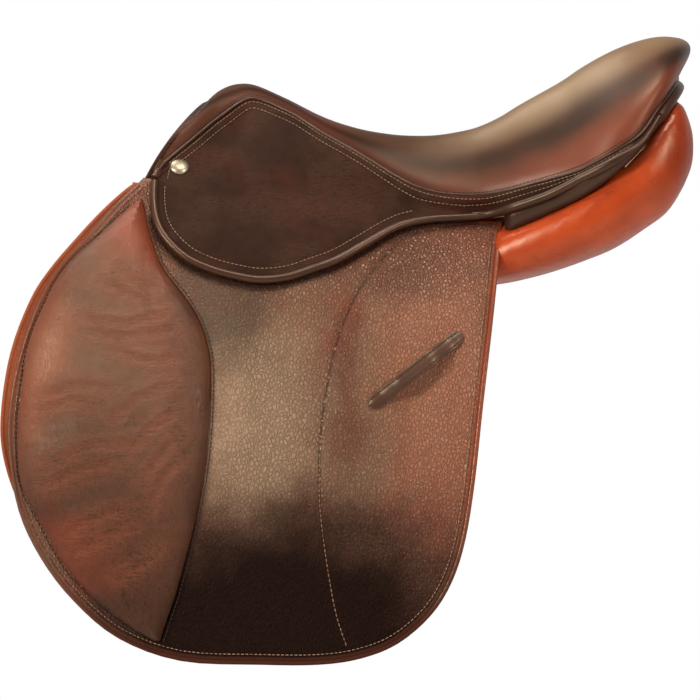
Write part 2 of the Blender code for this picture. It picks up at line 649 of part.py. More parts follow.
def skirt_column(index):
    """Outer and inner points of the upper skirt under a point of the seam, from the welt down."""
    fall, out = seam_way(index)
    top = Vector(SEAM[index]) + fall * (2 * SEAT_WELT_RADIUS + 3 * CLEARANCE)
    bottom = skirt_bottom(index)
    if index == 0:
        front = SKIRT_EDGE[0][0] + 2 * SKIRT_WELT_RADIUS
        ahead = Vector(SEAM[0]) - Vector(SEAM[1])
        top += ahead * (front - top.x) / ahead.x
        bottom = Vector((front, FOLD_HALF_WIDTH, fold_z(front) + CLEARANCE))
    down = (bottom - top).normalized()
    face = Vector((0, -down.z, down.y)).normalized()
    outer = [top, top.lerp(bottom, 0.5), bottom]
    thickness = min(SKIRT_THICKNESS, SKIRT_SKIVE * (bottom - top).length)
    return outer, [p - way * thickness for p, way in zip(outer, (out, face, face))]


def skirt_upper(side):
    columns = [skirt_column(i) for i in range(SKIRT_LAST + 1)]
    sheet = finish(SIDES[side] + "_skirt_upper", shell([c[0] for c in columns], [c[1] for c in columns]), side,
                   "skirt_leather")
    point, out = nail_seat()
    bore = cylinder(point - out * NAIL_SHANK_LENGTH, point + out * NAIL_SHANK_LENGTH, NAIL_BORE, 10)
    combine(sheet, cutter(SIDES[side] + "_nail_bore", bore, side), "DIFFERENCE")
    bed = cylinder(point + out * CLEARANCE, point + out * NAIL_SHANK_LENGTH, NAIL_RADIUS + CLEARANCE, 12)
    combine(sheet, cutter(SIDES[side] + "_nail_bed", bed, side), "DIFFERENCE")
    ends = [skirt_column(i) for i in range(FACING_FIRST, SKIRT_LAST + 1)]
    lips = [outer[2].lerp(inner[2], 0.2) for outer, inner in ends]
    path = []
    for i, (outer, _) in enumerate(ends):
        along = (lips[min(i + 1, len(lips) - 1)] - lips[max(i - 1, 0)]).normalized()
        down = (outer[2] - outer[1]).normalized()
        down = (down - down.dot(along) * along).normalized()
        path.append(lips[i] + down * (SKIRT_WELT_RADIUS + 2 * CLEARANCE))
    path[-1] = path[-2].lerp(path[-1], 0.7)
    welt = loft(swept(path, disc(SKIRT_WELT_RADIUS, 6), lambda i, t: Vector((0, 1, 0))))
    finish(SIDES[side] + "_skirt_rear_welt", welt, side, "skirt_leather")


def nail_seat():
    """The point on the skirt under the saddle nail, and the way out from it."""
    (top_a, _, bottom_a), _ = skirt_column(0)
    (top_b, _, bottom_b), _ = skirt_column(1)
    share = (NAIL_X - top_a.x) / (top_b.x - top_a.x)
    top, bottom = top_a.lerp(top_b, share), bottom_a.lerp(bottom_b, share)
    out = (top_b - top_a).cross(bottom - top).normalized()
    out = out if out.y > 0 else -out
    return top.lerp(bottom, (top.z - NAIL_Z) / (top.z - bottom.z)), out


def saddle_nail(side):
    point, out = nail_seat()
    across = Vector((1, 0, 0))
    foot = 2 * CLEARANCE
    profile = [(NAIL_SHANK_RADIUS, -NAIL_SHANK_LENGTH), (NAIL_SHANK_RADIUS, foot), (NAIL_RADIUS, foot),
               (NAIL_RADIUS * 0.96, foot + NAIL_DOME * 0.45), (NAIL_RADIUS * 0.70, foot + NAIL_DOME * 0.88),
               (NAIL_RADIUS * 0.30, foot + NAIL_DOME)]
    up = out.cross(across)
    rings = [[point + out * h + across * a + up * b for a, b in disc(r, 12)] for r, h in profile]
    finish(SIDES[side] + "_saddle_nail", loft(rings), side, "nickel")


# The seat

def crown(t, first, second):
    """Share of the way out and share of the way down at t, along a rib."""
    weights = (3 * (1 - t) ** 2 * t, 3 * (1 - t) * t**2, t**3)
    return (weights[0] * first[0] + weights[1] * second[0] + weights[2],
            weights[0] * first[1] + weights[1] * second[1] + weights[2])


def seat_rib(index, ts):
    """Points of the seat's surface from the spine to the seam, on the right-hand side."""
    spine_x, spine_z, rise, stand_out, _ = SEAT_RIBS[index]
    seam = Vector(SEAM[index])
    spine = Vector((spine_x, 0, spine_z))
    bend = RIB_BENDS[index] if index < len(RIB_BENDS) else 1.0
    share = ease((spine_x - CROWN_HEAD_X) / CROWN_HEAD_LENGTH)
    rear = ease((spine_x - CROWN_REAR_X) / CROWN_REAR_LENGTH)
    first, second = [[a + (b - a) * share + (c - b) * rear for a, b, c in zip(*points)]
                     for points in zip(CROWN_HEAD, CROWN_SEAT, CROWN_REAR)]
    flat = Vector((seam.x - spine.x, seam.y, 0))
    outward = flat.normalized() if flat.length > 1e-6 else Vector((0, 1, 0))
    points = []
    for t in ts:
        out, down = crown(t, first, second)
        hump = math.sin(math.pi * min(out / 0.95, 1.0)) ** 2
        height = spine.z + (seam.z - spine.z) * down + rise * hump
        point = Vector((spine.x + flat.x * out**bend, flat.y * out, height))
        points.append(point + outward * stand_out * math.sin(math.pi * t) ** 1.5)
    return points


def seat_surface():
    ts = [i / (SEAT_CROSS_POINTS - 1) for i in range(SEAT_CROSS_POINTS)]
    return [seat_rib(index, ts) for index in range(len(SEAM))]


def seam_way(index):
    """At a point of the seam: the way on down the seat's surface, and the way out of it."""
    rows = seat_surface()
    along = Vector(SEAM[min(index + 1, len(SEAM) - 1)]) - Vector(SEAM[index - 1 if index else 0])
    if index == len(SEAM) - 1:
        along = Vector((0, 1, 0))
    fall = (rows[index][-1] - rows[index][-2]).normalized()
    along.normalize()
    return (fall - fall.dot(along) * along).normalized(), grid_normals(rows)[index][-1]


def grid_normals(rows):
    normals = []
    for i, row in enumerate(rows):
        line = []
        for j, _ in enumerate(row):
            along = rows[min(i + 1, len(rows) - 1)][j] - rows[max(i - 1, 0)][j]
            out = row[min(j + 1, len(row) - 1)] - row[max(j - 1, 0)]
            normal = along.cross(out)
            if abs(row[j].y) < 1e-6:
                normal.y = 0
            line.append(normal.normalized() if normal.length > 1e-12 else Vector((0, 0, 1)))
        normals.append(line)
    return normals


def mirrored(rows):
    """Adds the left half to rows that run out from the centre plane."""
    return [[Vector((p.x, -p.y, p.z)) for p in reversed(row[1:])] + row for row in rows]


def set_in(rows, distances):
    """The rows moved in along their normals, each by its own distance."""
    return [[p - n * d for p, n in zip(row, line)] for row, line, d in zip(rows, grid_normals(rows), distances)]


def seat():
    rows = seat_surface()
    full = mirrored(rows)
    skives = SEAT_SKIVES + (1.0,) * (len(full) - len(SEAT_SKIVES))
    finish("seat_cover", shell(full, set_in(full, [SEAT_LEATHER * share for share in skives]), False), RIGHT,
           "seat_leather")
    ts = [FOAM_REACH * i / (FOAM_CROSS_POINTS - 1) for i in range(FOAM_CROSS_POINTS)]
    ribs = range(len(SEAM))[FOAM_RIBS]
    top = set_in(mirrored([seat_rib(index, ts) for index in ribs]), [SEAT_LEATHER + FOAM_CLEARANCE] * len(ribs))
    base = [[foam_base(index, point) for point in row] for index, row in zip(ribs, top)]
    finish("seat_foam", shell(top, base), RIGHT, "foam")


def foam_base(index, point):
    """The foam's underside below a point: level over the seat web, then falling towards the seam."""
    spine_x, spine_z, _, _, foam = SEAT_RIBS[index]
    _, seam_y, seam_z = SEAM[index]
    floor = spine_z - foam
    flat = min(SEAT_WEB_HALF_WIDTH + 0.004, 0.6 * seam_y)
    share = ease((abs(point.y) - flat) / (seam_y - flat) / 1.2)
    z = floor + (seam_z + FOAM_OVER_SEAM - floor) * share
    follow = share if index >= len(RIB_BENDS) else 1.0
    return Vector((spine_x + (point.x - spine_x) * follow, point.y * 0.985, min(z, point.z - FOAM_LEAST)))


def seat_welt():
    """The piping between seat and skirt, from one front corner round the cantle to the other."""
    points = [Vector(p) + seam_way(i)[0] * (SEAT_WELT_RADIUS + 2 * CLEARANCE) for i, p in enumerate(SEAM)]
    path = points + [Vector((p.x, -p.y, p.z)) for p in reversed(points[:-1])]
    finish("seat_welt", loft(swept(path, disc(SEAT_WELT_RADIUS, 6), lambda i, t: Vector((0, 0, 1)))), RIGHT,
           "skirt_leather")


def pommel_facing():
    """The leather band round the front of the head, ahead of the seat's front edge."""
    half = seat_surface()[0][:POMMEL_FACING_POINTS]
    path = [Vector((p.x, -p.y, p.z)) for p in reversed(half[1:])] + half
    near, far = -3 * CLEARANCE, -3 * CLEARANCE - POMMEL_FACING_WIDTH
    low, high = POMMEL_FACING_DROP, POMMEL_FACING_DROP + POMMEL_FACING_THICKNESS
    section = [(far, low), (near, low), (near, high), (far, high)]
    finish("pommel_facing", loft(swept(path, section, lambda i, t: Vector((1, 0, 0.35)))), RIGHT, "skirt_leather")


def facing_line(index):
    """The facing's outer points under a point of the seam, from its lower edge up, and the way out from it."""
    y, z = FACING_LOWER[index - FACING_FIRST]
    low = Vector((SEAM[index][0], y, z))
    if index <= SKIRT_LAST:
        top = skirt_column(index)[1][2] - Vector((0, 4 * CLEARANCE, 0))
        away = Vector((0, 1, -0.15)).normalized()
    else:
        top = Vector(SEAM[index]) + seam_way(index)[0] * (2 * SEAT_WELT_RADIUS + 4 * CLEARANCE)
        before, after = FACING_LOWER[index - FACING_FIRST - 1], (-FACING_LOWER[-2][0], z)
        ahead = SEAM[index - 1][0]
        behind = ahead
        if index < len(SEAM) - 1:
            after, behind = FACING_LOWER[index - FACING_FIRST + 1], SEAM[index + 1][0]
        away = Vector((before[0] - after[0], behind - ahead, 0)).normalized()
    return [low, low.lerp(top, 0.5), top], away


def cantle_facing():
    """The dark strip between skirt and panel, round the back from one flap to the other."""
    outer, inner = [], []
    for index in range(FACING_FIRST, len(SEAM)):
        line, away = facing_line(index)
        outer.append(line)
        inner.append([p - away * FACING_THICKNESS for p in line])

    def around(grid):
        return grid + [[Vector((p.x, -p.y, p.z)) for p in line] for line in reversed(grid[:-1])]

    finish("cantle_facing", shell(around(outer), around(inner)), RIGHT, "skirt_leather")


# The tree

def board_rings(path, section):
    """Rings of a board whose width lies along X and whose thickness stands square to the path, seen from ahead."""
    rings = []
    for i, point in enumerate(path):
        along = path[min(i + 1, len(path) - 1)] - path[max(i - 1, 0)]
        up = Vector((0, along.z, -along.y)).normalized()
        rings.append([point + Vector((a, 0, 0)) + up * b for a, b in section])
    return rings


def head_arch(name, width, thickness, shift, reach, finish_name):
    """A bent board or plate over the centre plane, down to a reach from its top."""
    half = [Vector(p) for p in HEAD_PATH]
    path = half + [Vector((p.x, -p.y, p.z)) for p in reversed(half[:-1])]
    rings = board_rings(path, rectangle(width, thickness, shift))
    kept = [ring for point, ring in zip(path, rings) if half[-1].z - point.z < reach]
    finish(name, loft(kept), RIGHT, finish_name)


def cantle_line():
    """The cantle's middle, just inside the facing, from the right-hand rail to the centre plane."""
    inward = FACING_THICKNESS + CANTLE_THICKNESS / 2 + 9 * CLEARANCE
    lines = [facing_line(index) for index in range(CANTLE_FIRST, len(SEAM))]
    return [middle - away * inward for (_, middle, _), away in lines]


def tree():
    whole = HEAD_PATH[-1][2]
    head_arch("tree_head", HEAD_WIDTH, HEAD_THICKNESS, 0.0, whole, "beech")
    over = (HEAD_THICKNESS + STEEL_THICKNESS) / 2 + CLEARANCE
    head_arch("head_plate", HEAD_PLATE_WIDTH, STEEL_THICKNESS, over, HEAD_PLATE_REACH, "steel")
    head_arch("gullet_plate", GULLET_PLATE_WIDTH, STEEL_THICKNESS, -over, GULLET_PLATE_REACH, "steel")
    half = cantle_line()
    path = half + [Vector((p.x, -p.y, p.z)) for p in reversed(half[:-1])]
    section = rectangle(CANTLE_HEIGHT, CANTLE_THICKNESS)
    finish("tree_cantle", loft(swept(path, section, lambda i, t: Vector((0, 0, 1)))), RIGHT, "beech")


def rail_ring(x, width, thickness, shift):
    """The rail's section at x, as a board sloping down and out."""
    y, z, slope, _ = (lookup(RAIL_STATIONS, x, c) for c in (1, 2, 3, 4))
    out = Vector((0, math.cos(math.radians(slope)), -math.sin(math.radians(slope))))
    up = Vector((0, -out.z, out.y))
    centre = Vector((x, y, z)) + up * shift
    half = thickness / 2
    return [centre - out * width / 2 - up * half, centre + out * width / 2 - up * half,
            centre + out * width / 2 + up * half, centre - out * width / 2 + up * half]


RAIL_XS = [-0.172, -0.150, -0.120, -0.090, -0.060, -0.040, -0.020, 0.000, 0.020, 0.040, 0.060, 0.085, 0.110,
           0.135, 0.149]


def rails(side):
    rings = [rail_ring(x, lookup(RAIL_STATIONS, x, 4), RAIL_THICKNESS, 0.0) for x in RAIL_XS]
    finish(SIDES[side] + "_tree_rail", loft(rings), side, "beech")
    under = (RAIL_THICKNESS + SPRING_THICKNESS) / 2 + 2 * CLEARANCE
    rings = [rail_ring(x, SPRING_WIDTH, SPRING_THICKNESS, -under) for x in RAIL_XS]
    finish(SIDES[side] + "_spring_bar", loft(rings), side, "steel")


def spine_floor(x):
    """Height of the foam's underside on the centre plane."""
    return lookup([(rib[0], rib[1] - rib[4]) for rib in SEAT_RIBS], x)


def webs():
    """The long seat web from head to cantle, and the cross webs that carry the girth straps."""
    outer, inner = [], []
    for x, spine_z, _, _, foam in SEAT_RIBS[WEB_RIBS]:
        z = spine_z - foam - 4 * CLEARANCE
        half = SEAT_WEB_HALF_WIDTH * (0.40 + 0.60 * ease((x + 0.160) / 0.090))
        outer.append([Vector((x, y, z)) for y in (-half, 0, half)])
        inner.append([Vector((x, y, z - WEB_THICKNESS)) for y in (-half, 0, half)])
    finish("seat_web", shell(outer, inner), RIGHT, "webbing")
    half = BILLET_WIDTH / 2
    cross_web("front_girth_web", BILLET_X[0] - half, BILLET_X[0] + half)
    cross_web("rear_girth_web", BILLET_X[1] - half, BILLET_X[2] + half)


def web_line(x):
    """The cross web's line on the right: from the centre plane over the rail, then down over the straps' tops."""
    slope = math.radians(lookup(RAIL_STATIONS, x, 3))
    half = lookup(RAIL_STATIONS, x, 4) / 2
    out = Vector((0, math.cos(slope), -math.sin(slope)))
    up = Vector((0, -out.z, out.y))
    over = up * (RAIL_THICKNESS / 2 + WEB_THICKNESS / 2 + 3 * CLEARANCE)
    rail = Vector((x, lookup(RAIL_STATIONS, x, 1), lookup(RAIL_STATIONS, x, 2)))
    upper = rail - out * (half + 0.001) + over
    layer = BILLET_OUTER - CLEARANCE - WEB_THICKNESS / 2
    floor = spine_floor(x) - 6 * CLEARANCE - 1.5 * WEB_THICKNESS
    return [Vector((x, 0, floor)), Vector((x, SEAT_WEB_HALF_WIDTH, min(floor, upper.z + 0.006))), upper,
            rail + out * (half + 0.001) + over, drape_point(x, GRID_DEPTH[1], layer),
            drape_point(x, GRID_DEPTH[2], layer)]


def cross_web(name, low, high):
    outer, inner = [], []
    for x in [low, *[x for x in RAIL_XS if low + 0.004 < x < high - 0.004], high]:
        half = web_line(x)
        line = [Vector((p.x, -p.y, p.z)) for p in reversed(half[1:])] + half
        ups, downs = [], []
        for i, point in enumerate(line):
            along = (line[min(i + 1, len(line) - 1)] - line[max(i - 1, 0)]).normalized()
            up = Vector((0, -along.z, along.y)).normalized()
            ups.append(point + up * WEB_THICKNESS / 2)
            downs.append(point - up * WEB_THICKNESS / 2)
        outer.append(ups)
        inner.append(downs)
    finish(name, shell(outer, inner), RIGHT, "webbing")


# The stirrup bar with its safety catch

def stirrup_bar(side):
    name = SIDES[side]
    blade_in = BAR_PLATE_Y + BAR_PLATE_THICKNESS + BAR_GAP
    blade_out = blade_in + BAR_BLADE_THICKNESS
    bottom = BAR_TOP_Z - BAR_HEIGHT
    plate = finish(name + "_stirrup_bar", box((BAR_FRONT_X, BAR_PLATE_Y, bottom - 0.004),
                   (BAR_REAR_X + 0.004, BAR_PLATE_Y + BAR_PLATE_THICKNESS, BAR_PLATE_TOP_Z)), side, "steel")
    bend = box((BAR_FRONT_X - BAR_BEND * 0.3, BAR_PLATE_Y + 0.001, bottom),
               (BAR_FRONT_X + BAR_BEND, blade_out - 0.001, BAR_TOP_Z - 0.001))
    combine(plate, cutter(name + "_bar_bend", bend, side), "UNION")
    blade = box((BAR_FRONT_X, blade_in, bottom - 0.0005), (BAR_REAR_X, blade_out, BAR_TOP_Z))
    combine(plate, cutter(name + "_bar_blade", blade, side), "UNION")
    pin_x = BAR_REAR_X - CATCH_HEIGHT / 2
    pin_z = BAR_TOP_Z - BAR_HEIGHT / 2
    catch_in = blade_out + CLEARANCE
    catch_out = catch_in + CATCH_THICKNESS
    bore = cylinder((pin_x, blade_in - 0.002, pin_z), (pin_x, catch_out + 0.002, pin_z), CATCH_PIN_BORE, 12)
    bore_tool = cutter(name + "_catch_bore", bore, side)
    combine(plate, bore_tool, "DIFFERENCE")
    pivot = empty(name + "_catch_pivot", (pin_x, side * catch_out, pin_z))
    half = CATCH_HEIGHT / 2
    arc = [(pin_x + half * math.cos(a), pin_z + half * math.sin(a))
           for a in (math.radians(90 + 30 * i) for i in range(7))]
    outline = [*arc, (pin_x + CATCH_LENGTH - 0.002, pin_z - half), (pin_x + CATCH_LENGTH, pin_z - half + 0.003),
               (pin_x + CATCH_LENGTH, pin_z + half - 0.003), (pin_x + CATCH_LENGTH - 0.002, pin_z + half)]
    body = loft([[Vector((x, y, z)) for x, z in outline] for y in (catch_in, catch_out)])
    catch = finish(name + "_bar_catch", body, side, "steel", pivot)
    combine(catch, bore_tool, "DIFFERENCE")
    shank = (CATCH_PIN_RADIUS, 12)
    rings = [[Vector((pin_x + a, y, pin_z + b)) for a, b in disc(r, shank[1])]
             for r, y in ((CATCH_PIN_RADIUS, blade_in), (CATCH_PIN_RADIUS, catch_out + CLEARANCE),
                          (CATCH_PIN_RADIUS * 2, catch_out + CLEARANCE), (CATCH_PIN_RADIUS * 1.7, catch_out + 0.0015))]
    finish(name + "_catch_pin", loft(rings), side, "steel")


# Girth straps

def billet_pivot(x):
    """Where a strap turns: the middle of its rounded top."""
    z = fold_z(x) - BILLET_TOP_DEPTH - BILLET_WIDTH / 2
    return drape_at(x, z, BILLET_OUTER + BILLET_THICKNESS / 2)


def billet(side, number, x):
    name = f"{SIDES[side]}_girth_strap_{number}"
    centre = billet_pivot(x)
    pivot = empty(name + "_pivot", (x, side * centre.y, centre.z))
    half = BILLET_WIDTH / 2
    top = fold_z(x) - BILLET_TOP_DEPTH - half
    bottom = fold_z(x) - BILLET_TOP_DEPTH - BILLET_LENGTH
    arc = [Vector((x + half * math.cos(a), top + half * math.sin(a)))
           for a in (math.radians(30 * i) for i in range(7))]
    outline = [*arc, Vector((x - half, bottom + BILLET_POINT)), Vector((x - half * 0.35, bottom)),
               Vector((x + half * 0.35, bottom)), Vector((x + half, bottom + BILLET_POINT))]
    outline.reverse()
    depths = [BILLET_TOP_DEPTH - BILLET_OUTER - BILLET_THICKNESS, *GRID_DEPTH[1:]]
    depths = [d for d in depths if d < BILLET_TOP_DEPTH + BILLET_LENGTH + 0.05]
    xs = (x - half - 0.002, x + half + 0.002)
    faces = [[[drape_point(p, d, layer) for p in xs] for d in depths]
             for layer in (BILLET_OUTER, BILLET_OUTER + BILLET_THICKNESS)]
    strap = finish(name, shell(*faces), side, "strap_leather", pivot)
    prism = loft([[Vector((p[0], y, p[1])) for p in outline] for y in (0.02, 0.30)])
    combine(strap, cutter(name + "_outline", prism, side), "INTERSECT")
    for i in range(BILLET_HOLES):
        z = bottom + BILLET_POINT + 0.020 + i * BILLET_HOLE_PITCH
        hole = cylinder((x, 0.02, z), (x, 0.30, z), BILLET_HOLE_RADIUS, 6)
        combine(strap, cutter(f"{name}_hole_{i}", hole, side), "DIFFERENCE")
    return pivot


def guard(side, pivot):
    """The leather guard that lies over the straps, under the flap."""
    low, high = BILLET_X[0] - BILLET_WIDTH / 2 - GUARD_MARGIN, BILLET_X[-1] + BILLET_WIDTH / 2 + GUARD_MARGIN
    top = fold_z((low + high) / 2) - GUARD_TOP_DEPTH
    bottom = top - GUARD_HEIGHT
    corner = 0.012
    outline = []
    for cx, cz, turn in ((low + corner, bottom + corner, 180), (high - corner, bottom + corner, 270),
                         (high - corner, top - corner, 0), (low + corner, top - corner, 90)):
        for i in range(4):
            angle = math.radians(turn + 30 * i)
            outline.append(Vector((cx + corner * math.cos(angle), cz + corner * math.sin(angle))))
    drape_sheet(SIDES[side] + "_buckle_guard", side, outline, lambda x: GUARD_OUTER,
                lambda x: GUARD_OUTER + GUARD_THICKNESS, "strap_leather", pivot, GRID_DEPTH[3])


# Panels

def panel_width_limit(x, z):
    """How wide a panel may be: inside the sweat flap, the tree and the stirrup bar's plate."""
    depth = fold_z(x) - z
    limit = 1.0
    if x < FLAP_EDGE[-1][0] + 0.005 and depth > 0:
        slope = (drape(x, depth + 0.001) - drape(x, depth)) / 0.001
        inner = sweat_flap_offset(x) + SWEAT_FLAP_THICKNESS + 3 * PANEL_CLEARANCE
        limit = drape(x, depth) - inner * math.sqrt(1 + slope**2)
    if x < RAIL_XS[2] + 0.010:
        plate_bottom = BAR_TOP_Z - BAR_HEIGHT - 0.004
        behind = BAR_PLATE_Y - PANEL_CLEARANCE + 0.80 * max(plate_bottom - 0.012 - z, 0.0)
        limit = min(limit, behind - 0.85 * max(z - 0.060, 0.0))
    elif z > 0.0:
        y, rail_z, slope = (lookup(RAIL_STATIONS, x, c) for c in (1, 2, 3))
        if slope > 20:
            tilt = math.radians(slope)
            reach = y - math.sin(tilt) * (RAIL_THICKNESS / 2 + SPRING_THICKNESS + PANEL_CLEARANCE)
            limit = min(limit, reach + (rail_z - z) / math.tan(tilt))
    return limit


def panel_height_limit(x, y):
    """How high a panel may be: under the rail's spring, and inside the facing's lower edge."""
    limit = 1.0
    if -0.03 < x < 0.16:
        rail_z, slope = lookup(RAIL_STATIONS, x, 2), lookup(RAIL_STATIONS, x, 3)
        limit = rail_z - RAIL_THICKNESS / 2 - SPRING_THICKNESS - PANEL_CLEARANCE
        limit -= 0.010 * abs(math.sin(math.radians(slope)))
    edge = [(SEAM[i][0], y, z) for i, (y, z) in enumerate(FACING_LOWER, FACING_FIRST)]
    if x > edge[0][0] - 0.015:
        inside = lookup(edge, x, 1) - FACING_THICKNESS - PANEL_CLEARANCE - y
        limit = min(limit, lookup(edge, x, 2) - 1.5 * PANEL_CLEARANCE + max(inside, 0.0))
    return limit


def panel(side):
    """A cushion of wool flock in a leather casing: full behind, flatter where it runs down the shoulder."""
    sections = []
    for x, y, z, half_width, half_thickness, slope in PANEL_STATIONS:
        out = Vector((0, math.cos(math.radians(slope)), -math.sin(math.radians(slope))))
        up = Vector((0, -out.z, out.y))
        ring = []
        for i in range(PANEL_POINTS):
            a = 2 * math.pi * (i + 0.5) / PANEL_POINTS
            c, s = math.cos(a), math.sin(a)
            power = 2 / PANEL_SQUARENESS
            across = math.copysign(abs(c) ** power, c) * half_width
            high = math.copysign(abs(s) ** power, s) * half_thickness
            point = Vector((x, y, z)) + out * across + up * high
            point.z = min(point.z, panel_height_limit(x, point.y))
            point.y = min(point.y, panel_width_limit(x, point.z))
            ring.append(point)
        sections.append(ring)
    finish(SIDES[side] + "_panel", loft(sections), side, "panel_leather")


def side_pieces(side):
    fold_middle = (FOLD_FRONT[0] + FOLD_REAR[0]) / 2
    place = (fold_middle, side * FOLD_HALF_WIDTH, fold_z(fold_middle))
    flap_pivot = empty(SIDES[side] + "_flap_fold", place)
    skirt_pivot = empty(SIDES[side] + "_skirt_fold", place)
    flap(side, flap_pivot)
    knee_pad(side, flap_pivot)
    keeper(side, flap_pivot)
    skirt_lower(side, skirt_pivot)
    skirt_upper(side)
    saddle_nail(side)
    sweat_flap(side)
    rails(side)
    stirrup_bar(side)
    pivots = [billet(side, number, x) for number, x in enumerate(BILLET_X, 1)]
    guard(side, pivots[1])
    panel(side)


def main():
    clear_scene()
    both_sides(side_pieces)
    seat()
    seat_welt()
    pommel_facing()
    cantle_facing()
    tree()
    webs()


main()
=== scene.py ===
# A jumping saddle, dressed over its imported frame. Metres, +Z up, the horse looks along -X, its left side is -Y.
import math

import bmesh
import bpy
import numpy as np
from mathutils import Matrix, Vector, bvhtree, geometry, kdtree, noise


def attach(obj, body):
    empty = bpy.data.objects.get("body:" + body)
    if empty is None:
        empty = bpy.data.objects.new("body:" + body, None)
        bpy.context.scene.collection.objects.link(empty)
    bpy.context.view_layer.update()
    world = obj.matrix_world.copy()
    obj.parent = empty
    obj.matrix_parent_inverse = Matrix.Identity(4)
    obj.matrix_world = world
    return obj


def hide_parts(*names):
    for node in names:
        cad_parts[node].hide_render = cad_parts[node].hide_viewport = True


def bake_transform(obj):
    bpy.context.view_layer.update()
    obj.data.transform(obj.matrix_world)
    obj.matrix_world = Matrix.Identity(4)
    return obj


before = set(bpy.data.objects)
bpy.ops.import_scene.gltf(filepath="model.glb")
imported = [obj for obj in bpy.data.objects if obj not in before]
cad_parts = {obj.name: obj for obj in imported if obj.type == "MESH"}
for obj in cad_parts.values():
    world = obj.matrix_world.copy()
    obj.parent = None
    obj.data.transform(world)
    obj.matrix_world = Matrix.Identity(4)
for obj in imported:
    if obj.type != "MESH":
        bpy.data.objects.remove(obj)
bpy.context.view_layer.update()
sides = {"left": -1, "right": 1}


# Small tools

def ease(t):
    t = np.clip(t, 0.0, 1.0)
    return t * t * (3 - 2 * t)


def spline(points, steps):
    # a smooth curve through the points, along their first axis
    points = np.asarray(points, float)
    padded = np.concatenate([[2 * points[0] - points[1]], points, [2 * points[-1] - points[-2]]])
    out = []
    for a, b, c, d in zip(padded, padded[1:], padded[2:], padded[3:]):
        for t in np.arange(steps) / steps:
            out.append(0.5 * (2 * b + (c - a) * t + (2 * a - 5 * b + 4 * c - d) * t**2
                              + (3 * b - a - 3 * c + d) * t**3))
    return np.array(out + [points[-1]])


def even(points, pitch, closed=False):
    # the same line with evenly spaced points
    points = np.asarray(points, float)
    if closed:
        points = np.concatenate([points, points[:1]])
    length = np.concatenate([[0], np.cumsum(np.linalg.norm(np.diff(points, axis=0), axis=1))])
    count = max(int(round(length[-1] / pitch)), 2)
    at = np.linspace(0, length[-1], count + 1)
    if closed:
        at = at[:-1]
    return np.stack([np.interp(at, length, points[:, k]) for k in range(points.shape[1])], axis=1)


def unit(rows):
    return rows / np.maximum(np.linalg.norm(rows, axis=-1, keepdims=True), 1e-12)


def shifted(points, distance):
    # a flat line moved to its left
    along = unit(np.gradient(points, axis=0))
    return points + distance * np.stack([-along[:, 1], along[:, 0]], axis=1)


def distanceTo(points, line, closed=False):
    # distance of flat points to a line, and on which side of it they lie
    ends = np.concatenate([line, line[:1]]) if closed else line
    a, b = ends[:-1], ends[1:]
    along = b - a
    best = np.full(len(points), 1e9)
    side = np.zeros(len(points))
    for i in range(len(a)):
        rel = points - a[i]
        t = np.clip(rel @ along[i] / max(along[i] @ along[i], 1e-12), 0, 1)
        gap = rel - t[:, None] * along[i]
        d = np.hypot(gap[:, 0], gap[:, 1])
        nearer = d < best
        best[nearer] = d[nearer]
        side[nearer] = (along[i][0] * rel[:, 1] - along[i][1] * rel[:, 0])[nearer]
    return best, np.sign(side)


def inside(points, loop):
    result = np.zeros(len(points), bool)
    for (ax, ay), (bx, by) in zip(loop, np.roll(loop, -1, axis=0)):
        crosses = (ay > points[:, 1]) != (by > points[:, 1])
        with np.errstate(divide="ignore", invalid="ignore"):
            where = (bx - ax) * (points[:, 1] - ay) / (by - ay) + ax
        result ^= crosses & (points[:, 0] < where)
    return result


def linked(name, data):
    piece = bpy.data.objects.new(name, data)
    bpy.context.scene.collection.objects.link(piece)
    return piece


def mark(piece, name, values):
    # a number at each point, for the finish to read
    layer = piece.data.attributes.new(name, "FLOAT", "POINT")
    layer.data.foreach_set("value", np.asarray(values, np.float32))


def meshPiece(name, points, faces, smooth=40):
    mesh = bpy.data.meshes.new(name)
    mesh.from_pydata([tuple(p) for p in points], [], [tuple(int(i) for i in f) for f in faces])
    mesh.validate()
    piece = linked(name, mesh)
    faceOut(piece)
    soften(piece, smooth)
    return piece


def faceOut(piece, merge=1e-6):
    # loose and double points gone, and every face looking out
    bm = bmesh.new()
    bm.from_mesh(piece.data)
    bmesh.ops.delete(bm, geom=[v for v in bm.verts if not v.link_faces], context="VERTS")
    bmesh.ops.remove_doubles(bm, verts=bm.verts, dist=merge)
    bmesh.ops.recalc_face_normals(bm, faces=bm.faces)
    if bm.calc_volume(signed=True) < 0:
        bmesh.ops.reverse_faces(bm, faces=bm.faces)
    bm.to_mesh(piece.data)
    bm.free()


def only(piece):
    bpy.ops.object.select_all(action="DESELECT")
    piece.select_set(True)
    bpy.context.view_layer.objects.active = piece


def soften(piece, angle=40):
    only(piece)
    bpy.ops.object.shade_smooth_by_angle(angle=math.radians(angle))


def modify(piece, kind, **settings):
    only(piece)
    modifier = piece.modifiers.new(kind.title(), kind)
    for key, value in settings.items():
        setattr(modifier, key, value)
    bpy.ops.object.modifier_apply(modifier=modifier.name)


def gridFaces(rows, columns, start=0, wrap=False):
    faces = []
    for i in range(rows - 1):
        for j in range(columns if wrap else columns - 1):
            k = (j + 1) % columns
            a = start + i * columns
            faces.append((a + j, a + k, a + columns + k, a + columns + j))
    return faces


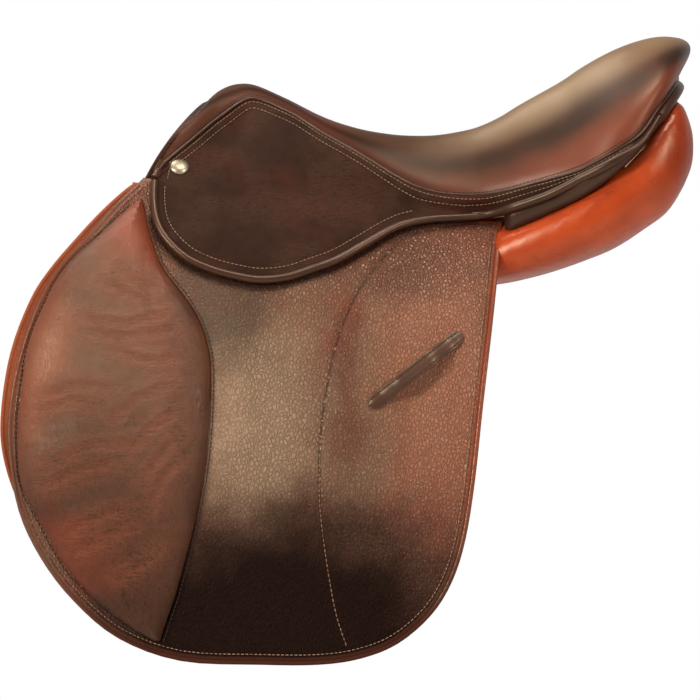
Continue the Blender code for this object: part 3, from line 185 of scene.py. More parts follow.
def gridSolid(name, outer, inner, smooth=40, joined=False):
    # a closed solid between two grids of points; joined where the last row folds back on itself and needs no rim
    rows, columns = outer.shape[:2]
    count = rows * columns
    faces = gridFaces(rows, columns) + [tuple(reversed(f)) for f in gridFaces(rows, columns, count)]
    rim = [(i * columns + j, (i + 1) * columns + j) for i in range(rows - 1) for j in (0, columns - 1)]
    rim += [(i * columns + j, i * columns + j + 1) for j in range(columns - 1)
            for i in ((0,) if joined else (0, rows - 1))]
    faces += [(a, b, b + count, a + count) for a, b in rim]
    return meshPiece(name, np.concatenate([outer.reshape(-1, 3), inner.reshape(-1, 3)]), faces, smooth)


def ringSolid(name, rings, smooth=50):
    # a closed solid through closed rings, with its ends capped
    rows, columns = rings.shape[:2]
    faces = gridFaces(rows, columns, 0, True)
    faces += [tuple(range(columns)), tuple(range((rows - 1) * columns, rows * columns))]
    return meshPiece(name, rings.reshape(-1, 3), faces, smooth)


def tube(name, path, radius, resolution=4, taper=None):
    # a round cord of leather along a line
    curve = bpy.data.curves.new(name, "CURVE")
    curve.dimensions = "3D"
    curve.bevel_depth = radius
    curve.bevel_resolution = resolution
    curve.use_fill_caps = True
    line = curve.splines.new("POLY")
    line.points.add(len(path) - 1)
    for i, (point, place) in enumerate(zip(line.points, path)):
        point.co = (*place, 1)
        point.radius = 1.0 if taper is None else taper[i]
    only(linked(name, curve))
    bpy.ops.object.convert(target="MESH")
    piece = bpy.context.object
    faceOut(piece, 1e-7)
    soften(piece, 60)
    return piece


def sampled(at, run, rows):
    return np.stack([np.interp(at, run, rows[:, k]) for k in range(3)], axis=-1)


# pitch, length and radius of the stitches
threads = {"seam": (0.0036, 0.0026, 0.00040), "top": (0.0036, 0.0026, 0.00032), "seat": (0.0034, 0.0026, 0.00030),
           "keeper": (0.0032, 0.0025, 0.00034), "strap": (0.0042, 0.0031, 0.00040), "pad": (0.0036, 0.0028, 0.00042),
           "padFront": (0.0040, 0.0030, 0.00042)}
# where along a stitch, how wide and how high
stitchShape = [(-0.5, 0.45, -0.9), (-0.36, 0.95, 0.2), (0.0, 1.1, 0.55), (0.36, 0.95, 0.2), (0.5, 0.45, -0.9)]


def stitches(name, path, normals, pitch, length, radius, lift=0.00012):
    # a row of single stitches, each a short thread that dips in at both ends
    path, normals = np.asarray(path, float), np.asarray(normals, float)
    run = np.concatenate([[0], np.cumsum(np.linalg.norm(np.diff(path, axis=0), axis=1))])
    count, sidesOfThread = int(run[-1] / pitch), 6
    turns = [2 * math.pi * k / sidesOfThread for k in range(sidesOfThread)]
    points, faces = [], []
    for middle in (np.arange(count) + 0.5) * run[-1] / max(count, 1):
        at, ahead, behind = [sampled(middle + away, run, path) for away in (0, 1e-3, -1e-3)]
        along = unit(ahead - behind)
        across = unit(np.cross(along, unit(sampled(middle, run, normals))))
        up = np.cross(across, along)
        first = len(points)
        for s, wide, high in stitchShape:
            centre = at + along * s * length + up * (lift + high * radius * 0.5)
            points += [centre + radius * wide * (across * math.cos(a) + up * math.sin(a)) for a in turns]
        last = len(points) - sidesOfThread
        faces += gridFaces(len(stitchShape), sidesOfThread, first, True)
        faces += [tuple(range(first, first + sidesOfThread)), tuple(range(len(points) - 1, last - 1, -1))]
    return meshPiece(name, points, faces, 80)


def mirrored(piece, name):
    # the same piece on the other side, with its own mesh
    copy = piece.copy()
    copy.data = piece.data.copy()
    copy.name = copy.data.name = name
    bpy.context.scene.collection.objects.link(copy)
    copy.data.transform(Matrix.Diagonal((1, -1, 1, 1)))
    copy.data.flip_normals()
    return copy


# The drape that flap, skirt and sweat flap follow, seen on the right-hand side

drapeShape = {
    "foldFront": (-0.240, 0.084), "foldRear": (0.060, 0.050), "foldHalfWidth": 0.090,
    "spread": 0.112, "reachFront": 0.140, "reachRear": 0.100, "lean": 0.02, "middle": -0.150,
    "wrapFront": (0.028, 0.220), "wrapRear": (0.014, 0.210), "wrapDepth": 0.080,
}
layers = {
    "skirtThickness": 0.004, "flapOuter": 0.0043, "flapThickness": 0.005, "guardOuter": 0.0108,
    "guardThickness": 0.0025, "strapOuter": 0.0142, "strapThickness": 0.004, "sweatThickness": 0.0032,
    "strapRoom": 0.0104,
}


def foldZ(x):
    (x0, z0), (x1, z1) = drapeShape["foldFront"], drapeShape["foldRear"]
    return z0 + (z1 - z0) * (x - x0) / (x1 - x0)


def drapeWidth(x, depth):
    s = drapeShape
    rearward = ease((x - s["middle"]) / (s["foldRear"][0] - s["middle"]))
    reach = s["reachFront"] + (s["reachRear"] - s["reachFront"]) * rearward
    front = s["wrapFront"][0] * ((s["middle"] - x) / s["wrapFront"][1]) ** 2
    rear = s["wrapRear"][0] * ((x - s["middle"]) / s["wrapRear"][1]) ** 2
    wrap = np.where(x < s["middle"], front, rear)
    out = s["spread"] * (1 - np.exp(-depth / reach))
    return s["foldHalfWidth"] + out + s["lean"] * depth - wrap * (1 - np.exp(-np.maximum(depth, 0) / s["wrapDepth"]))


def drapePoint(x, depth, offset):
    step = 0.001
    here = np.stack([x, drapeWidth(x, depth), foldZ(x) - depth], axis=-1)
    along = np.stack([x + step, drapeWidth(x + step, depth), foldZ(x + step) - depth], axis=-1) - here
    down = np.stack([x, drapeWidth(x, depth + step), foldZ(x) - depth - step], axis=-1) - here
    normal = unit(np.cross(down, along))
    normal = np.where(normal[..., 1:2] < 0, -normal, normal)
    return here - normal * np.asarray(offset)[..., None], normal


def onDrape(x, z, offset):
    # the point of a layer that is seen at x and z from the side
    x, z = np.asarray(x, float), np.asarray(z, float)
    offset = np.broadcast_to(np.asarray(offset, float), x.shape)
    at, depth = x.copy(), foldZ(x) - z
    for _ in range(8):
        point, normal = drapePoint(at, depth, offset)
        at = at + x - point[..., 0]
        depth = depth + point[..., 2] - z
    return drapePoint(at, depth, offset)


def strapRoom(x):
    return ease((x + 0.225) / 0.060) * ease((0.046 - x) / 0.036)


def cornered(points, pitch):
    # an outline with evenly spaced points that keeps its corners, where it turns by more than 25 degrees
    points = np.asarray(points, float)
    before, after = points - np.roll(points, 1, axis=0), np.roll(points, -1, axis=0) - points
    cross = before[:, 0] * after[:, 1] - before[:, 1] * after[:, 0]
    turn = np.abs(np.degrees(np.arctan2(cross, (before * after).sum(axis=1))))
    corners = [i for i, t in enumerate(turn) if t > 25]
    if not corners:
        return even(points, pitch, True)
    out = []
    for a, b in zip(corners, corners[1:] + [corners[0] + len(points)]):
        part = np.array([points[i % len(points)] for i in range(a, b + 1)])
        if len(part) > 2 or np.linalg.norm(part[1] - part[0]) > pitch * 1.5:
            part = even(part, pitch)
        out.append(part[:-1])
    return np.concatenate(out)


def insetLoop(loop, distance):
    # a closed outline moved inwards, mitred at its corners
    before, after = unit(loop - np.roll(loop, 1, axis=0)), unit(np.roll(loop, -1, axis=0) - loop)
    first, second = [np.stack([-way[:, 1], way[:, 0]], axis=1) for way in (before, after)]
    middle = unit(first + second)
    cosine = np.maximum((middle * second).sum(axis=1), 0.5)
    return loop + middle * (distance / cosine)[:, None]


def leatherSheet(name, sign, outline, outer, thickness, pitch=0.005, rounding=0.0012, creases=(), holes=(),
                 relief=None, keepSharp=None, tight=()):
    # A leather sheet on the drape, cut to an outline of x and z, with rounded edges. A crease is a line, half its
    # width and its depth. relief(x, z, edge) raises the outer face; keepSharp(x, z) is 0 where the edge stays square.
    loop = cornered(outline, pitch * 0.7)
    if (loop[:, 0] * np.roll(loop[:, 1], -1) - np.roll(loop[:, 0], -1) * loop[:, 1]).sum() < 0:
        loop = loop[::-1]
    shoulder = [insetLoop(loop, rounding * share) for share in (0.25, 0.6, 1.0)]
    rings = [loop] + shoulder + [insetLoop(loop, distance) for distance in tight]
    for hole in holes:
        rings += [hole, insetLoop(hole, -0.0005)]
    lines = [(ring, True) for ring in rings]
    for line, half, _ in creases:
        line = even(line, pitch * 0.7)
        line = line[inside(line, shoulder[-1])]
        for away in (-1, -0.45, 0, 0.45, 1):
            moved = shifted(line, half * away)
            lines.append((moved[inside(moved, shoulder[-1])], False))
    coords, edges = [], []
    for points, closed in lines:
        start, end = len(coords), len(coords) + len(points) - 1
        coords.extend(points)
        edges += [(i, i + 1) for i in range(start, end)] + ([(end, start)] if closed else [])
    low, high = loop.min(axis=0), loop.max(axis=0)
    columns, rows = int((high[0] - low[0]) / pitch) + 1, int((high[1] - low[1]) / (pitch * 0.87)) + 1
    grid = np.array([(low[0] + (i + 0.5 * (j % 2)) * pitch, low[1] + j * pitch * 0.87)
                     for j in range(rows) for i in range(columns)])
    grid = grid[inside(grid, loop)]
    room = np.min([distanceTo(grid, points, closed)[0] for points, closed in lines if len(points) > 1], axis=0)
    coords.extend(grid[room > pitch * 0.55])
    flat, _, triangles = geometry.delaunay_2d_cdt([Vector(p) for p in coords], edges, [], 1, 1e-7)[:3]
    flat = np.array([tuple(p) for p in flat])
    triangles = [t for t in triangles if len(t) == 3]
    edge = distanceTo(flat, loop, True)[0]
    radius = np.full(len(flat), rounding)
    for hole in holes:
        centres = np.array([flat[list(t)].mean(axis=0) for t in triangles])
        triangles = [t for t, gone in zip(triangles, inside(centres, hole)) if not gone]
        near = distanceTo(flat, hole, True)[0]
        edge = np.minimum(edge, near)
        radius = np.where(near < rounding * 1.2, 0.0005, radius)
    if keepSharp is not None:
        radius = np.maximum(radius * keepSharp(flat[:, 0], flat[:, 1]), 1e-6)
    drop = radius - np.sqrt(np.maximum(radius**2 - np.clip(radius - edge, 0, None) ** 2, 0))
    sunk = drop.copy()
    for line, half, depth in creases:
        away = distanceTo(flat, even(line, pitch * 0.7))[0]
        sunk += depth * np.clip(1 - (away / half) ** 2, 0, 1) ** 2
    if relief is not None:
        sunk -= relief(flat[:, 0], flat[:, 1], edge)
    base = outer(flat[:, 0]) if callable(outer) else outer
    top, under = [onDrape(flat[:, 0], flat[:, 1], base + depth)[0] for depth in (sunk, thickness - drop)]
    count, used = len(flat), set()
    for a, b, c in triangles:
        used |= {(a, b), (b, c), (c, a)}
    faces = [tuple(t) for t in triangles] + [tuple(i + count for i in reversed(t)) for t in triangles]
    for t in triangles:
        for a, b in zip(t, (*t[1:], t[0])):
            if (b, a) not in used:
                faces.append((b, a, a + count, b + count))
    mesh = bpy.data.meshes.new(name)
    mesh.from_pydata([tuple(p) for p in np.concatenate([top, under]) * (1, sign, 1)], [], faces)
    piece = linked(name, mesh)
    mark(piece, "edge", np.concatenate([edge, edge]))
    faceOut(piece, 1e-7)
    soften(piece, 50)
    return piece


def drapeRow(line, offset, sign):
    # a line of x and z laid on a layer of the drape, and the way out of it
    points, normals = onDrape(line[:, 0], line[:, 1], offset)
    return points * (1, sign, 1), normals * (1, sign, 1)


# Outlines from the side, x and z, in millimetres

outlines = {name: np.array(points) / 1000 for name, points in {
    "flap": [
        (-243, 83), (-263, 64), (-288, 34), (-309, 10), (-327, -20), (-342, -65), (-350, -107), (-350, -145),
        (-341, -193), (-322, -232), (-295, -266), (-258, -296), (-207, -314), (-142, -317), (-94, -317), (-60, -312),
        (-30, -300), (-3, -277), (14, -250), (25, -216), (33, -168), (40, -107), (48, -45), (55.5, 15), (59, 38)],
    "sweatFlap": [
        (-245, 82), (-256, 76), (-277, 56), (-299, 31), (-320, 5), (-335, -20), (-350, -62), (-357, -108),
        (-356, -144), (-343, -184), (-318, -224), (-285, -262), (-240, -293), (-200, -304), (-140, -307),
        (-94, -307), (-58, -301), (-30, -288), (-8, -268), (8, -240), (17, -205), (24, -165), (31, -105), (38, -45),
        (43, 20), (44, 36)],
    "skirt": [
        (-236.5, 83), (-236.5, 64), (-233, 45), (-224, 29), (-207, 13), (-186, 3), (-164, -3), (-144, -6),
        (-121, -4), (-99, 3), (-78, 11), (-57, 23), (-35, 36), (-20, 42), (0, 45.5), (25, 47), (47, 49), (61, 52),
        (80, 58), (97, 64), (116, 73), (134, 84)],
    "padSeam": [
        (-243, 66), (-236, 38), (-225, 8), (-208, -14), (-197, -30), (-189, -47), (-184, -68), (-183, -89),
        (-184, -124), (-188, -164), (-196, -206), (-209, -256), (-217, -280), (-223, -298)],
    "rearLine": [
        (36, 46), (5, 40), (-22, 33), (-40, 16), (-54, -1), (-66, -20), (-76, -44), (-85, -75), (-91, -113),
        (-94, -146), (-94, -185), (-89, -229), (-81, -274), (-72, -302)],
}.items()}
notch = {"front": -0.202, "rear": -0.114, "floor": 0.024}
# x, y and z of the seam round the seat
seam = np.array([
    (-228, 79, 98), (-205, 62, 118.5), (-181, 41, 140), (-154.5, 27, 156), (-122, 38, 144), (-93, 51, 125),
    (-63, 64, 107), (-35, 75, 89), (-15, 82, 78), (4, 86, 72), (23, 89, 70), (42, 93, 70), (61, 99, 73),
    (80, 107, 78), (116, 123, 88), (134, 129, 96), (153, 132, 107), (171, 129, 120), (187, 119, 141),
    (198, 104, 155), (206.5, 78, 166), (211.5, 40, 173), (213, 0, 176)]) / 1000
# x and z on the centre line, the rise beside it, how far it stands out, and the foam's thickness
seatRibs = np.array([
    (-186.5, 157, 0, 0, 6), (-176.5, 164.8, 0, 0, 7.5), (-165, 168.7, 0, 1, 10), (-150, 167.3, 0, 2, 12),
    (-124, 155.8, 0, 2, 18), (-92, 140, 0, 3, 23), (-62, 129.5, 1, 3, 25), (-34, 124, 2, 2, 26),
    (-13, 121.5, 4, 0, 26), (4, 120.5, 6, 0, 26), (21, 121.5, 8, 0, 26), (38, 124, 10, 0, 26),
    (56, 128.5, 14, 1, 27), (73, 134.5, 19, 2, 28), (104, 150, 22, 3, 30), (121, 160.5, 23, 4, 31),
    (139, 172, 22, 5, 32), (156, 183, 19, 7, 33), (172, 193, 14, 10, 33), (184, 200, 9, 12, 32),
    (194, 205, 4, 14, 32), (201, 208, 1, 16, 31.8), (204, 209, 0, 17, 32)]) / 1000
seamWay = unit(np.gradient(seam[:, :2], axis=0))
seamOutward = np.stack([-seamWay[:, 1], seamWay[:, 0]], axis=1)
seamOutward[-1] = (1, 0)
welts = {"seat": 0.0016, "skirt": 0.0030}


# Leather, thread, wood and metal, all drawn by nodes

class Value:
    # a socket that can be used in sums
    def __init__(self, shader, socket):
        self.shader, self.socket = shader, socket

    def math(self, operation, *others):
        return self.shader.node("ShaderNodeMath", {"operation": operation}, {0: self, **dict(enumerate(others, 1))})

    def __add__(self, other):
        return self.math("ADD", other)

    def __sub__(self, other):
        return self.math("SUBTRACT", other)

    def __mul__(self, other):
        return self.math("MULTIPLY", other)

    def __rsub__(self, other):
        return self.shader.node("ShaderNodeMath", {"operation": "SUBTRACT"}, {0: other, 1: self})

    __radd__, __rmul__ = __add__, __mul__

    def clamp(self):
        return self.math("MAXIMUM", 0.0).math("MINIMUM", 1.0)

    def smooth(self, low, high, least=0.0, most=1.0):
        # least below low, most above high
        return self.shader.node("ShaderNodeMapRange", {"interpolation_type": "SMOOTHSTEP"}, {
            "Value": self, "From Min": low, "From Max": high, "To Min": least, "To Max": most})


class Shader:
    def __init__(self, name, kind="materials"):
        self.material = getattr(bpy.data, kind).new(name)
        self.material.use_nodes = True
        self.tree = self.material.node_tree
        self.base = self.tree.nodes["Background" if kind == "worlds" else "Principled BSDF"]
        self.place = self.node("ShaderNodeTexCoord", {}, {}, "Object")
        self.drift = None

    def put(self, node, key, value):
        # a link or a number into one socket
        if isinstance(value, Value):
            self.tree.links.new(value.socket, node.inputs[key])
        else:
            node.inputs[key].default_value = value

    def node(self, kind, settings, inputs, output=0):
        made = self.tree.nodes.new(kind)
        for key, value in settings.items():
            setattr(made, key, value)
        for key, value in inputs.items():
            self.put(made, key, value)
        return Value(self, made.outputs[output])

    def vector(self, operation, *inputs, output=0):
        return self.node("ShaderNodeVectorMath", {"operation": operation}, dict(enumerate(inputs)), output)

    def stretched(self, scale, turn=(0.0, 0.0, 0.0), at=None):
        return self.node("ShaderNodeMapping", {}, {"Vector": at or self.place, "Scale": scale, "Rotation": turn})

    def noise(self, scale, detail=3.0, rough=0.55, at=None, distortion=0.0, output=0):
        return self.node("ShaderNodeTexNoise", {}, {"Vector": at or self.place, "Scale": scale, "Detail": detail,
                                                    "Roughness": rough, "Distortion": distortion}, output)

    def moved(self, scale, detail, reach):
        # the place, pushed about by a noise
        return self.vector("MULTIPLY_ADD", self.noise(scale, detail, 0.5, output="Color"), (reach,) * 3, self.place)

    def cells(self, scale, feature="F1", at=None, **inputs):
        return self.node("ShaderNodeTexVoronoi", {"feature": feature},
                         {"Vector": at or self.place, "Scale": scale, **inputs}, "Distance")

    def grain(self, scale, high):
        return self.cells(scale, "DISTANCE_TO_EDGE").smooth(0.0, high)

    def bands(self, direction, scale, at=None, **inputs):
        return self.node("ShaderNodeTexWave", {"wave_type": "BANDS", "bands_direction": direction},
                         {"Vector": at or self.place, "Scale": scale, **inputs})

    def colour(self, rgb):
        return (*[linear(c) for c in rgb], 1.0)

    def mix(self, factor, first, second):
        first, second = [self.colour(c) if isinstance(c, tuple) else c for c in (first, second)]
        return self.node("ShaderNodeMix", {"data_type": "RGBA"}, {0: factor, 6: first, 7: second}, 2)

    def attribute(self, name):
        return self.node("ShaderNodeAttribute", {"attribute_name": name}, {}, "Fac")

    def spot(self, x, z, reachX, reachZ, turn=0.0):
        # 1 in the middle of an oval seen from the side, falling to 0 at its rim
        wander = 0.055
        if self.drift is None:
            self.drift = self.moved(26.0, 4.0, wander)
        away = self.vector("SUBTRACT", self.drift, (x + wander / 2, 0.0, z + wander / 2))
        turned = self.node("ShaderNodeVectorRotate", {"rotation_type": "Y_AXIS"},
                           {"Vector": away, "Angle": math.radians(turn)})
        sized = self.vector("MULTIPLY", turned, (1 / reachX, 0.0, 1 / reachZ))
        return (1 - self.vector("LENGTH", sized, output="Value")).smooth(0.0, 0.75)

    def bump(self, height, distance):
        return self.node("ShaderNodeBump", {}, {"Height": height, "Distance": distance, "Strength": 1.0})

    def finish(self, dull=None, gloss=(255, 255, 255), **sockets):
        # dull, where given, is a mask of leather that has lost its shine; gloss is the tint of its highlights
        bases = [self.base]
        if dull is not None:
            bases.append(self.tree.nodes.new("ShaderNodeBsdfPrincipled"))
            both = self.tree.nodes.new("ShaderNodeMixShader")
            self.put(both, 0, dull)
            for i, base in enumerate(bases, 1):
                self.tree.links.new(base.outputs[0], both.inputs[i])
            self.tree.links.new(both.outputs[0], self.tree.nodes["Material Output"].inputs["Surface"])
        for base in bases:
            for key, value in sockets.items():
                self.put(base, key.replace("_", " "), value)
            self.put(base, "Specular Tint", self.colour(gloss))
        if dull is not None:
            self.put(bases[1], "Specular IOR Level", 0.05)
        return self.material

    def leather(self, colour, rough, height, depth, shine, dull=None):
        # waxed leather, with the tint of old wax in its highlights
        return self.finish(dull, (255, 228, 196), Base_Color=colour, Roughness=rough,
                           Normal=self.bump(height, depth), IOR=1.47, Specular_IOR_Level=shine)


def linear(c):
    c = c / 255
    return c / 12.92 if c <= 0.04045 else ((c + 0.055) / 1.055) ** 2.4


skirtFinish = {"base": (48, 29, 22), "warm": (72, 33, 24), "deep": (28, 17, 13), "rough": 0.46}


def skirtLeather():
    # dark and smooth, with fine wrinkles that run fore and aft
    s, f = Shader("skirt leather"), skirtFinish
    colour = s.mix(s.noise(13, 4, 0.6).smooth(0.47, 0.70) * 0.55, f["base"], f["warm"])
    colour = s.mix(s.noise(120, 3, 0.6).smooth(0.45, 0.75) * 0.35, colour, f["deep"])
    lines = s.noise(1.0, 3, 0.6, s.stretched((170, 170, 720), (0, 0.12, 0)), 0.6)
    ridges = (1 - ((lines - 0.5).math("ABSOLUTE") * 6.0)).clamp()
    where = s.noise(22, 2, 0.5).smooth(0.38, 0.60)
    colour = s.mix(ridges * where * 0.30, colour, (96, 66, 52))
    height = s.grain(1100, 0.16) * 0.25 + ridges * (where * 0.8 + 0.2)
    return s.leather(colour, f["rough"] + s.noise(60) * 0.16 - 0.05, height, 0.00024, 0.07)


flapFinish = {
    "base": (108, 67, 51), "red": (124, 61, 44), "dun": (140, 114, 90), "deep": (25, 14, 12),
    "edge": (140, 62, 36), "green": (66, 58, 46), "glint": (156, 116, 92), "rough": 0.33,
}


def flapLeather():
    # pebbled, mottled from years of cleaning, darker towards the bottom and red along the rear edge, with painted
    # highlights on the pebble tops and in two patches, and a painted shadow under the skirt's edge
    s, f = Shader("flap leather"), flapFinish
    blotch = s.noise(9, 5, 0.62, distortion=0.4)
    mottle = s.noise(40, 4, 0.6)
    soft = s.noise(1.0, 2, 0.5, s.stretched((22, 22, 9), (0, 0.2, 0)))
    slanted = s.stretched((400, 400, 230), (0, -0.7, 0), s.moved(150.0, 3.0, 0.0042))
    tops = (1 - s.cells(1.0, "SMOOTH_F1", slanted, Smoothness=0.5) * 1.1).clamp()
    creases = s.cells(1.0, "DISTANCE_TO_EDGE", slanted)
    edge = s.attribute("edge")
    rim = 1 - edge.smooth(0.0040, 0.0085)
    # darker towards the bottom, darkest at its lowest part
    dark = s.spot(-0.120, -0.345, 0.250, 0.225, -8) * 1.25 + (blotch - 0.5) * 0.40 + (mottle - 0.5) * 0.20
    darkBottom = dark.smooth(0.10, 1.05)
    shade = (s.attribute("underSkirt") + (mottle - 0.5) * 0.5).smooth(0.15, 0.75) * 0.85
    # painted highlights: the pebble tops made lighter, away from the dark bottom and the edge
    glintTops = tops.smooth(0.45, 0.85) * (1 - darkBottom) * edge.smooth(0.004, 0.010)
    valley = 1 - creases.smooth(0.0, 0.20)
    colour = s.mix(blotch.smooth(0.42, 0.62), f["base"], f["red"])
    for mask, tint in (
            (soft.smooth(0.42, 0.62) * 0.4, f["dun"]),
            (mottle.smooth(0.52, 0.72) * 0.35, f["dun"]),
            # a painted highlight: a tan patch in the middle of the flap
            (s.spot(-0.146, -0.120, 0.085, 0.150, 4) * 0.8, (164, 136, 110)),
            ((s.spot(-0.174, -0.024, 0.060, 0.080, 6) + (mottle - 0.5) * 0.8).clamp() * 0.75, f["green"]),
            (s.spot(0.025, 0.030, 0.110, 0.055) * 0.65, (104, 46, 33)),
            # partly the lighter red-brown of the leather towards the rear, partly a painted highlight
            (s.spot(0.008, -0.085, 0.085, 0.175, 6) * 0.75, (168, 110, 84)),
            ((s.spot(-0.012, 0.008, 0.066, 0.046, 16) + (mottle - 0.5) * 0.6).clamp() * 0.6, (76, 44, 37)),
            (s.spot(0.010, -0.270, 0.110, 0.100) * 0.75, (92, 34, 23)),
            (dark.smooth(0.0, 0.6) * 0.8, (62, 36, 28)),
            (darkBottom * 0.96, f["deep"]),
            (s.attribute("rearLine") * 0.65, (46, 25, 19)),
            (shade, (30, 17, 13)),
            (rim * 0.55, (88, 48, 35)),
            (rim * s.spot(0.070, -0.080, 0.130, 0.260, 8) * 0.9, f["edge"]),
            (rim * s.spot(-0.330, -0.020, 0.100, 0.170, -30) * 0.6, (128, 62, 40)),
            # painted highlight on the pebble tops
            (glintTops * 0.08, f["glint"]),
            (valley * (1 - darkBottom) * 0.45, (66, 36, 27))):
        colour = s.mix(mask, colour, tint)
    height = tops * 0.35 + creases.smooth(0.0, 0.24) * 0.65 + soft * 1.2
    calm = (1 - darkBottom * 0.45) * (1 - s.spot(-0.195, -0.090, 0.055, 0.190) * 0.85)
    rough = f["rough"] + valley * 0.20 + s.noise(45) * 0.14 - 0.08
    return s.leather(colour, rough, height * calm * edge.smooth(0.003, 0.008), 0.00105, 0.50,
                     (darkBottom + shade).clamp())


padFinish = {"base": (92, 58, 43), "red": (106, 52, 37), "dun": (84, 62, 50), "deep": (44, 26, 20), "rough": 0.30}


def padLeather():
    # soft leather of the knee pads, wrinkled across and rubbed to dun on its ridges
    s, f = Shader("pad leather"), padFinish
    blotch = s.noise(12, 5, 0.6, distortion=0.5)
    across = s.noise(1.0, 4, 0.62, s.stretched((120, 120, 420), (0, 0.16, 0)), 1.1)
    along = s.noise(1.0, 4, 0.62, s.stretched((520, 520, 150), (0, -0.22, 0)), 0.9)
    folds = (1 - ((across - 0.5).math("ABSOLUTE") * 7.0)).clamp()
    fine = (1 - ((along - 0.5).math("ABSOLUTE") * 6.0)).clamp()
    bands = s.noise(1.0, 2, 0.5, s.stretched((9, 9, 30), (0, 0.1, 0)))
    where = (bands.smooth(0.56, 0.70) * 0.25 + s.attribute("fold")).clamp()
    colour = s.mix(blotch.smooth(0.46, 0.68), f["base"], f["red"])
    for mask, tint in (
            ((s.spot(-0.262, -0.155, 0.085, 0.200, 4) + (blotch - 0.5) * 0.8).clamp() * 0.75, f["dun"]),
            (s.spot(-0.236, 0.048, 0.050, 0.075) * 0.8, (136, 54, 32)),
            (s.spot(-0.330, -0.090, 0.030, 0.150, -8) * 0.7, (134, 70, 46)),
            (s.spot(-0.280, -0.220, 0.130, 0.165) * 0.85, (54, 34, 27)),
            (s.spot(-0.245, -0.300, 0.120, 0.110) * 0.85, f["deep"]),
            (s.spot(-0.300, -0.235, 0.050, 0.060, -30) * 0.7, (104, 46, 32)),
            # painted shade on the pad's rear slope, down into the valley at its seam
            (s.spot(-0.200, -0.100, 0.022, 0.190, 3) * 0.7, f["deep"]),
            (folds * where * 0.5, (140, 74, 51)),
            (fine * 0.22, (132, 84, 62))):
        colour = s.mix(mask, colour, tint)
    height = folds * (where + 0.05) + fine * 0.35 + s.grain(950, 0.2) * 0.16
    return s.leather(colour, f["rough"] + s.noise(50) * 0.16 - 0.08, height, 0.00028, 0.60,
                     s.spot(-0.275, -0.240, 0.150, 0.185) * 0.75)


# sheen is a painted reflection along the top, deep a painted shade band below it, low a painted highlight above the
# seam
seatFinish = {"base": (66, 40, 30), "warm": (88, 44, 31), "sheen": (138, 112, 84), "low": (126, 64, 46),
              "deep": (44, 27, 21), "rough": 0.33}


def seatLeather():
    # smooth calf, with a painted sheen along the top behind, a painted shade band below it and a painted pinkish
    # highlight above the seam
    s, f = Shader("seat leather"), seatFinish
    blotch = s.noise(10, 4, 0.6)
    crest = s.attribute("crest")
    rear = s.spot(0.150, 0.170, 0.215, 0.150)
    wave = crest + (s.noise(14, 3, 0.5) - 0.5) * 0.10
    middle = wave.smooth(0.44, 0.58) * (1 - wave.smooth(0.60, 0.74))
    low = wave.smooth(0.62, 0.84) * (1 - crest.smooth(0.96, 1.0) * 0.4)
    colour = s.mix(blotch.smooth(0.42, 0.70) * 0.6, f["base"], f["warm"])
    for mask, tint in (
            # painted sheen: a reflection of the light above, along the top and strongest behind
            ((1 - wave.smooth(0.34, 0.58)) * (rear * 0.85 + 0.10), f["sheen"]),
            # painted shade: a dark band where the side turns away from the light
            (middle * 0.7, f["deep"]),
            # painted highlight: a pinkish band above the seam, strongest behind
            (low * (rear * 0.75 + 0.15), f["low"]),
            (blotch.smooth(0.50, 0.75) * 0.35, (98, 42, 28))):
        colour = s.mix(mask, colour, tint)
    height = s.grain(1300, 0.18) * 0.4 + s.noise(1.0, 3, 0.6, s.stretched((160, 160, 420))) * 0.6
    return s.leather(colour, f["rough"] + s.noise(40) * 0.12 - 0.04, height, 0.00006, 0.50,
                     (1 - s.spot(0.150, 0.170, 0.240, 0.200)) * 0.7)


panelFinish = {"base": (168, 60, 23), "light": (190, 72, 28), "deep": (112, 38, 19), "rough": 0.27}


def panelLeather():
    # orange, smooth and shiny
    s, f = Shader("panel leather"), panelFinish
    colour = s.mix(s.noise(16, 4, 0.6).smooth(0.40, 0.68), f["base"], f["light"])
    colour = s.mix(s.spot(0.195, 0.125, 0.075, 0.060, -35) * 0.7, colour, (136, 50, 27))
    colour = s.mix(s.noise(85, 4, 0.7).smooth(0.56, 0.72) * 0.40, colour, f["deep"])
    height = s.grain(1100, 0.2) * 0.4 + s.noise(120) * 0.6
    return s.leather(colour, f["rough"] + s.noise(60) * 0.14 - 0.05, height, 0.00005, 0.60)


def plainLeather(name, base, second, rough=0.5, grain=700, depth=0.00022, edge=None, shine=0.2):
    # saddler's leather: straps, sweat flaps, facings and piping
    s = Shader(name)
    colour = s.mix(s.noise(12, 4, 0.6).smooth(0.4, 0.65), base, second)
    cells = s.grain(grain, 0.18)
    if edge is not None:
        colour = s.mix((1 - s.attribute("edge").smooth(0.0008, 0.0035)) * 0.8, colour, edge)
    colour = s.mix((1 - cells) * 0.3, colour, tuple(int(c * 0.55) for c in base))
    return s.leather(colour, rough + s.noise(50) * 0.14 - 0.07, cells * 0.6 + s.noise(160) * 0.5, depth, shine)


def threadFinish(name, base, dark):
    # waxed linen thread, laid in two plies
    s = Shader(name)
    plies = s.bands("DIAGONAL", 260.0, Distortion=1.0)
    return s.finish(Base_Color=s.mix(s.noise(300).smooth(0.4, 0.7), base, dark), Roughness=0.62,
                    Normal=s.bump(plies, 0.00008))


def metalFinish(name, base, rough):
    s = Shader(name)
    colour = s.mix(s.noise(60, 4, 0.6).smooth(0.4, 0.7), base, tuple(int(c * 0.80) for c in base))
    lines = s.noise(900, 3, 0.6, s.stretched((0.15, 1.0, 1.0)))
    return s.finish(Base_Color=colour, Metallic=1.0, Roughness=rough + s.noise(120, 4) * 0.20 - 0.08,
                    Normal=s.bump(lines, 0.00003))


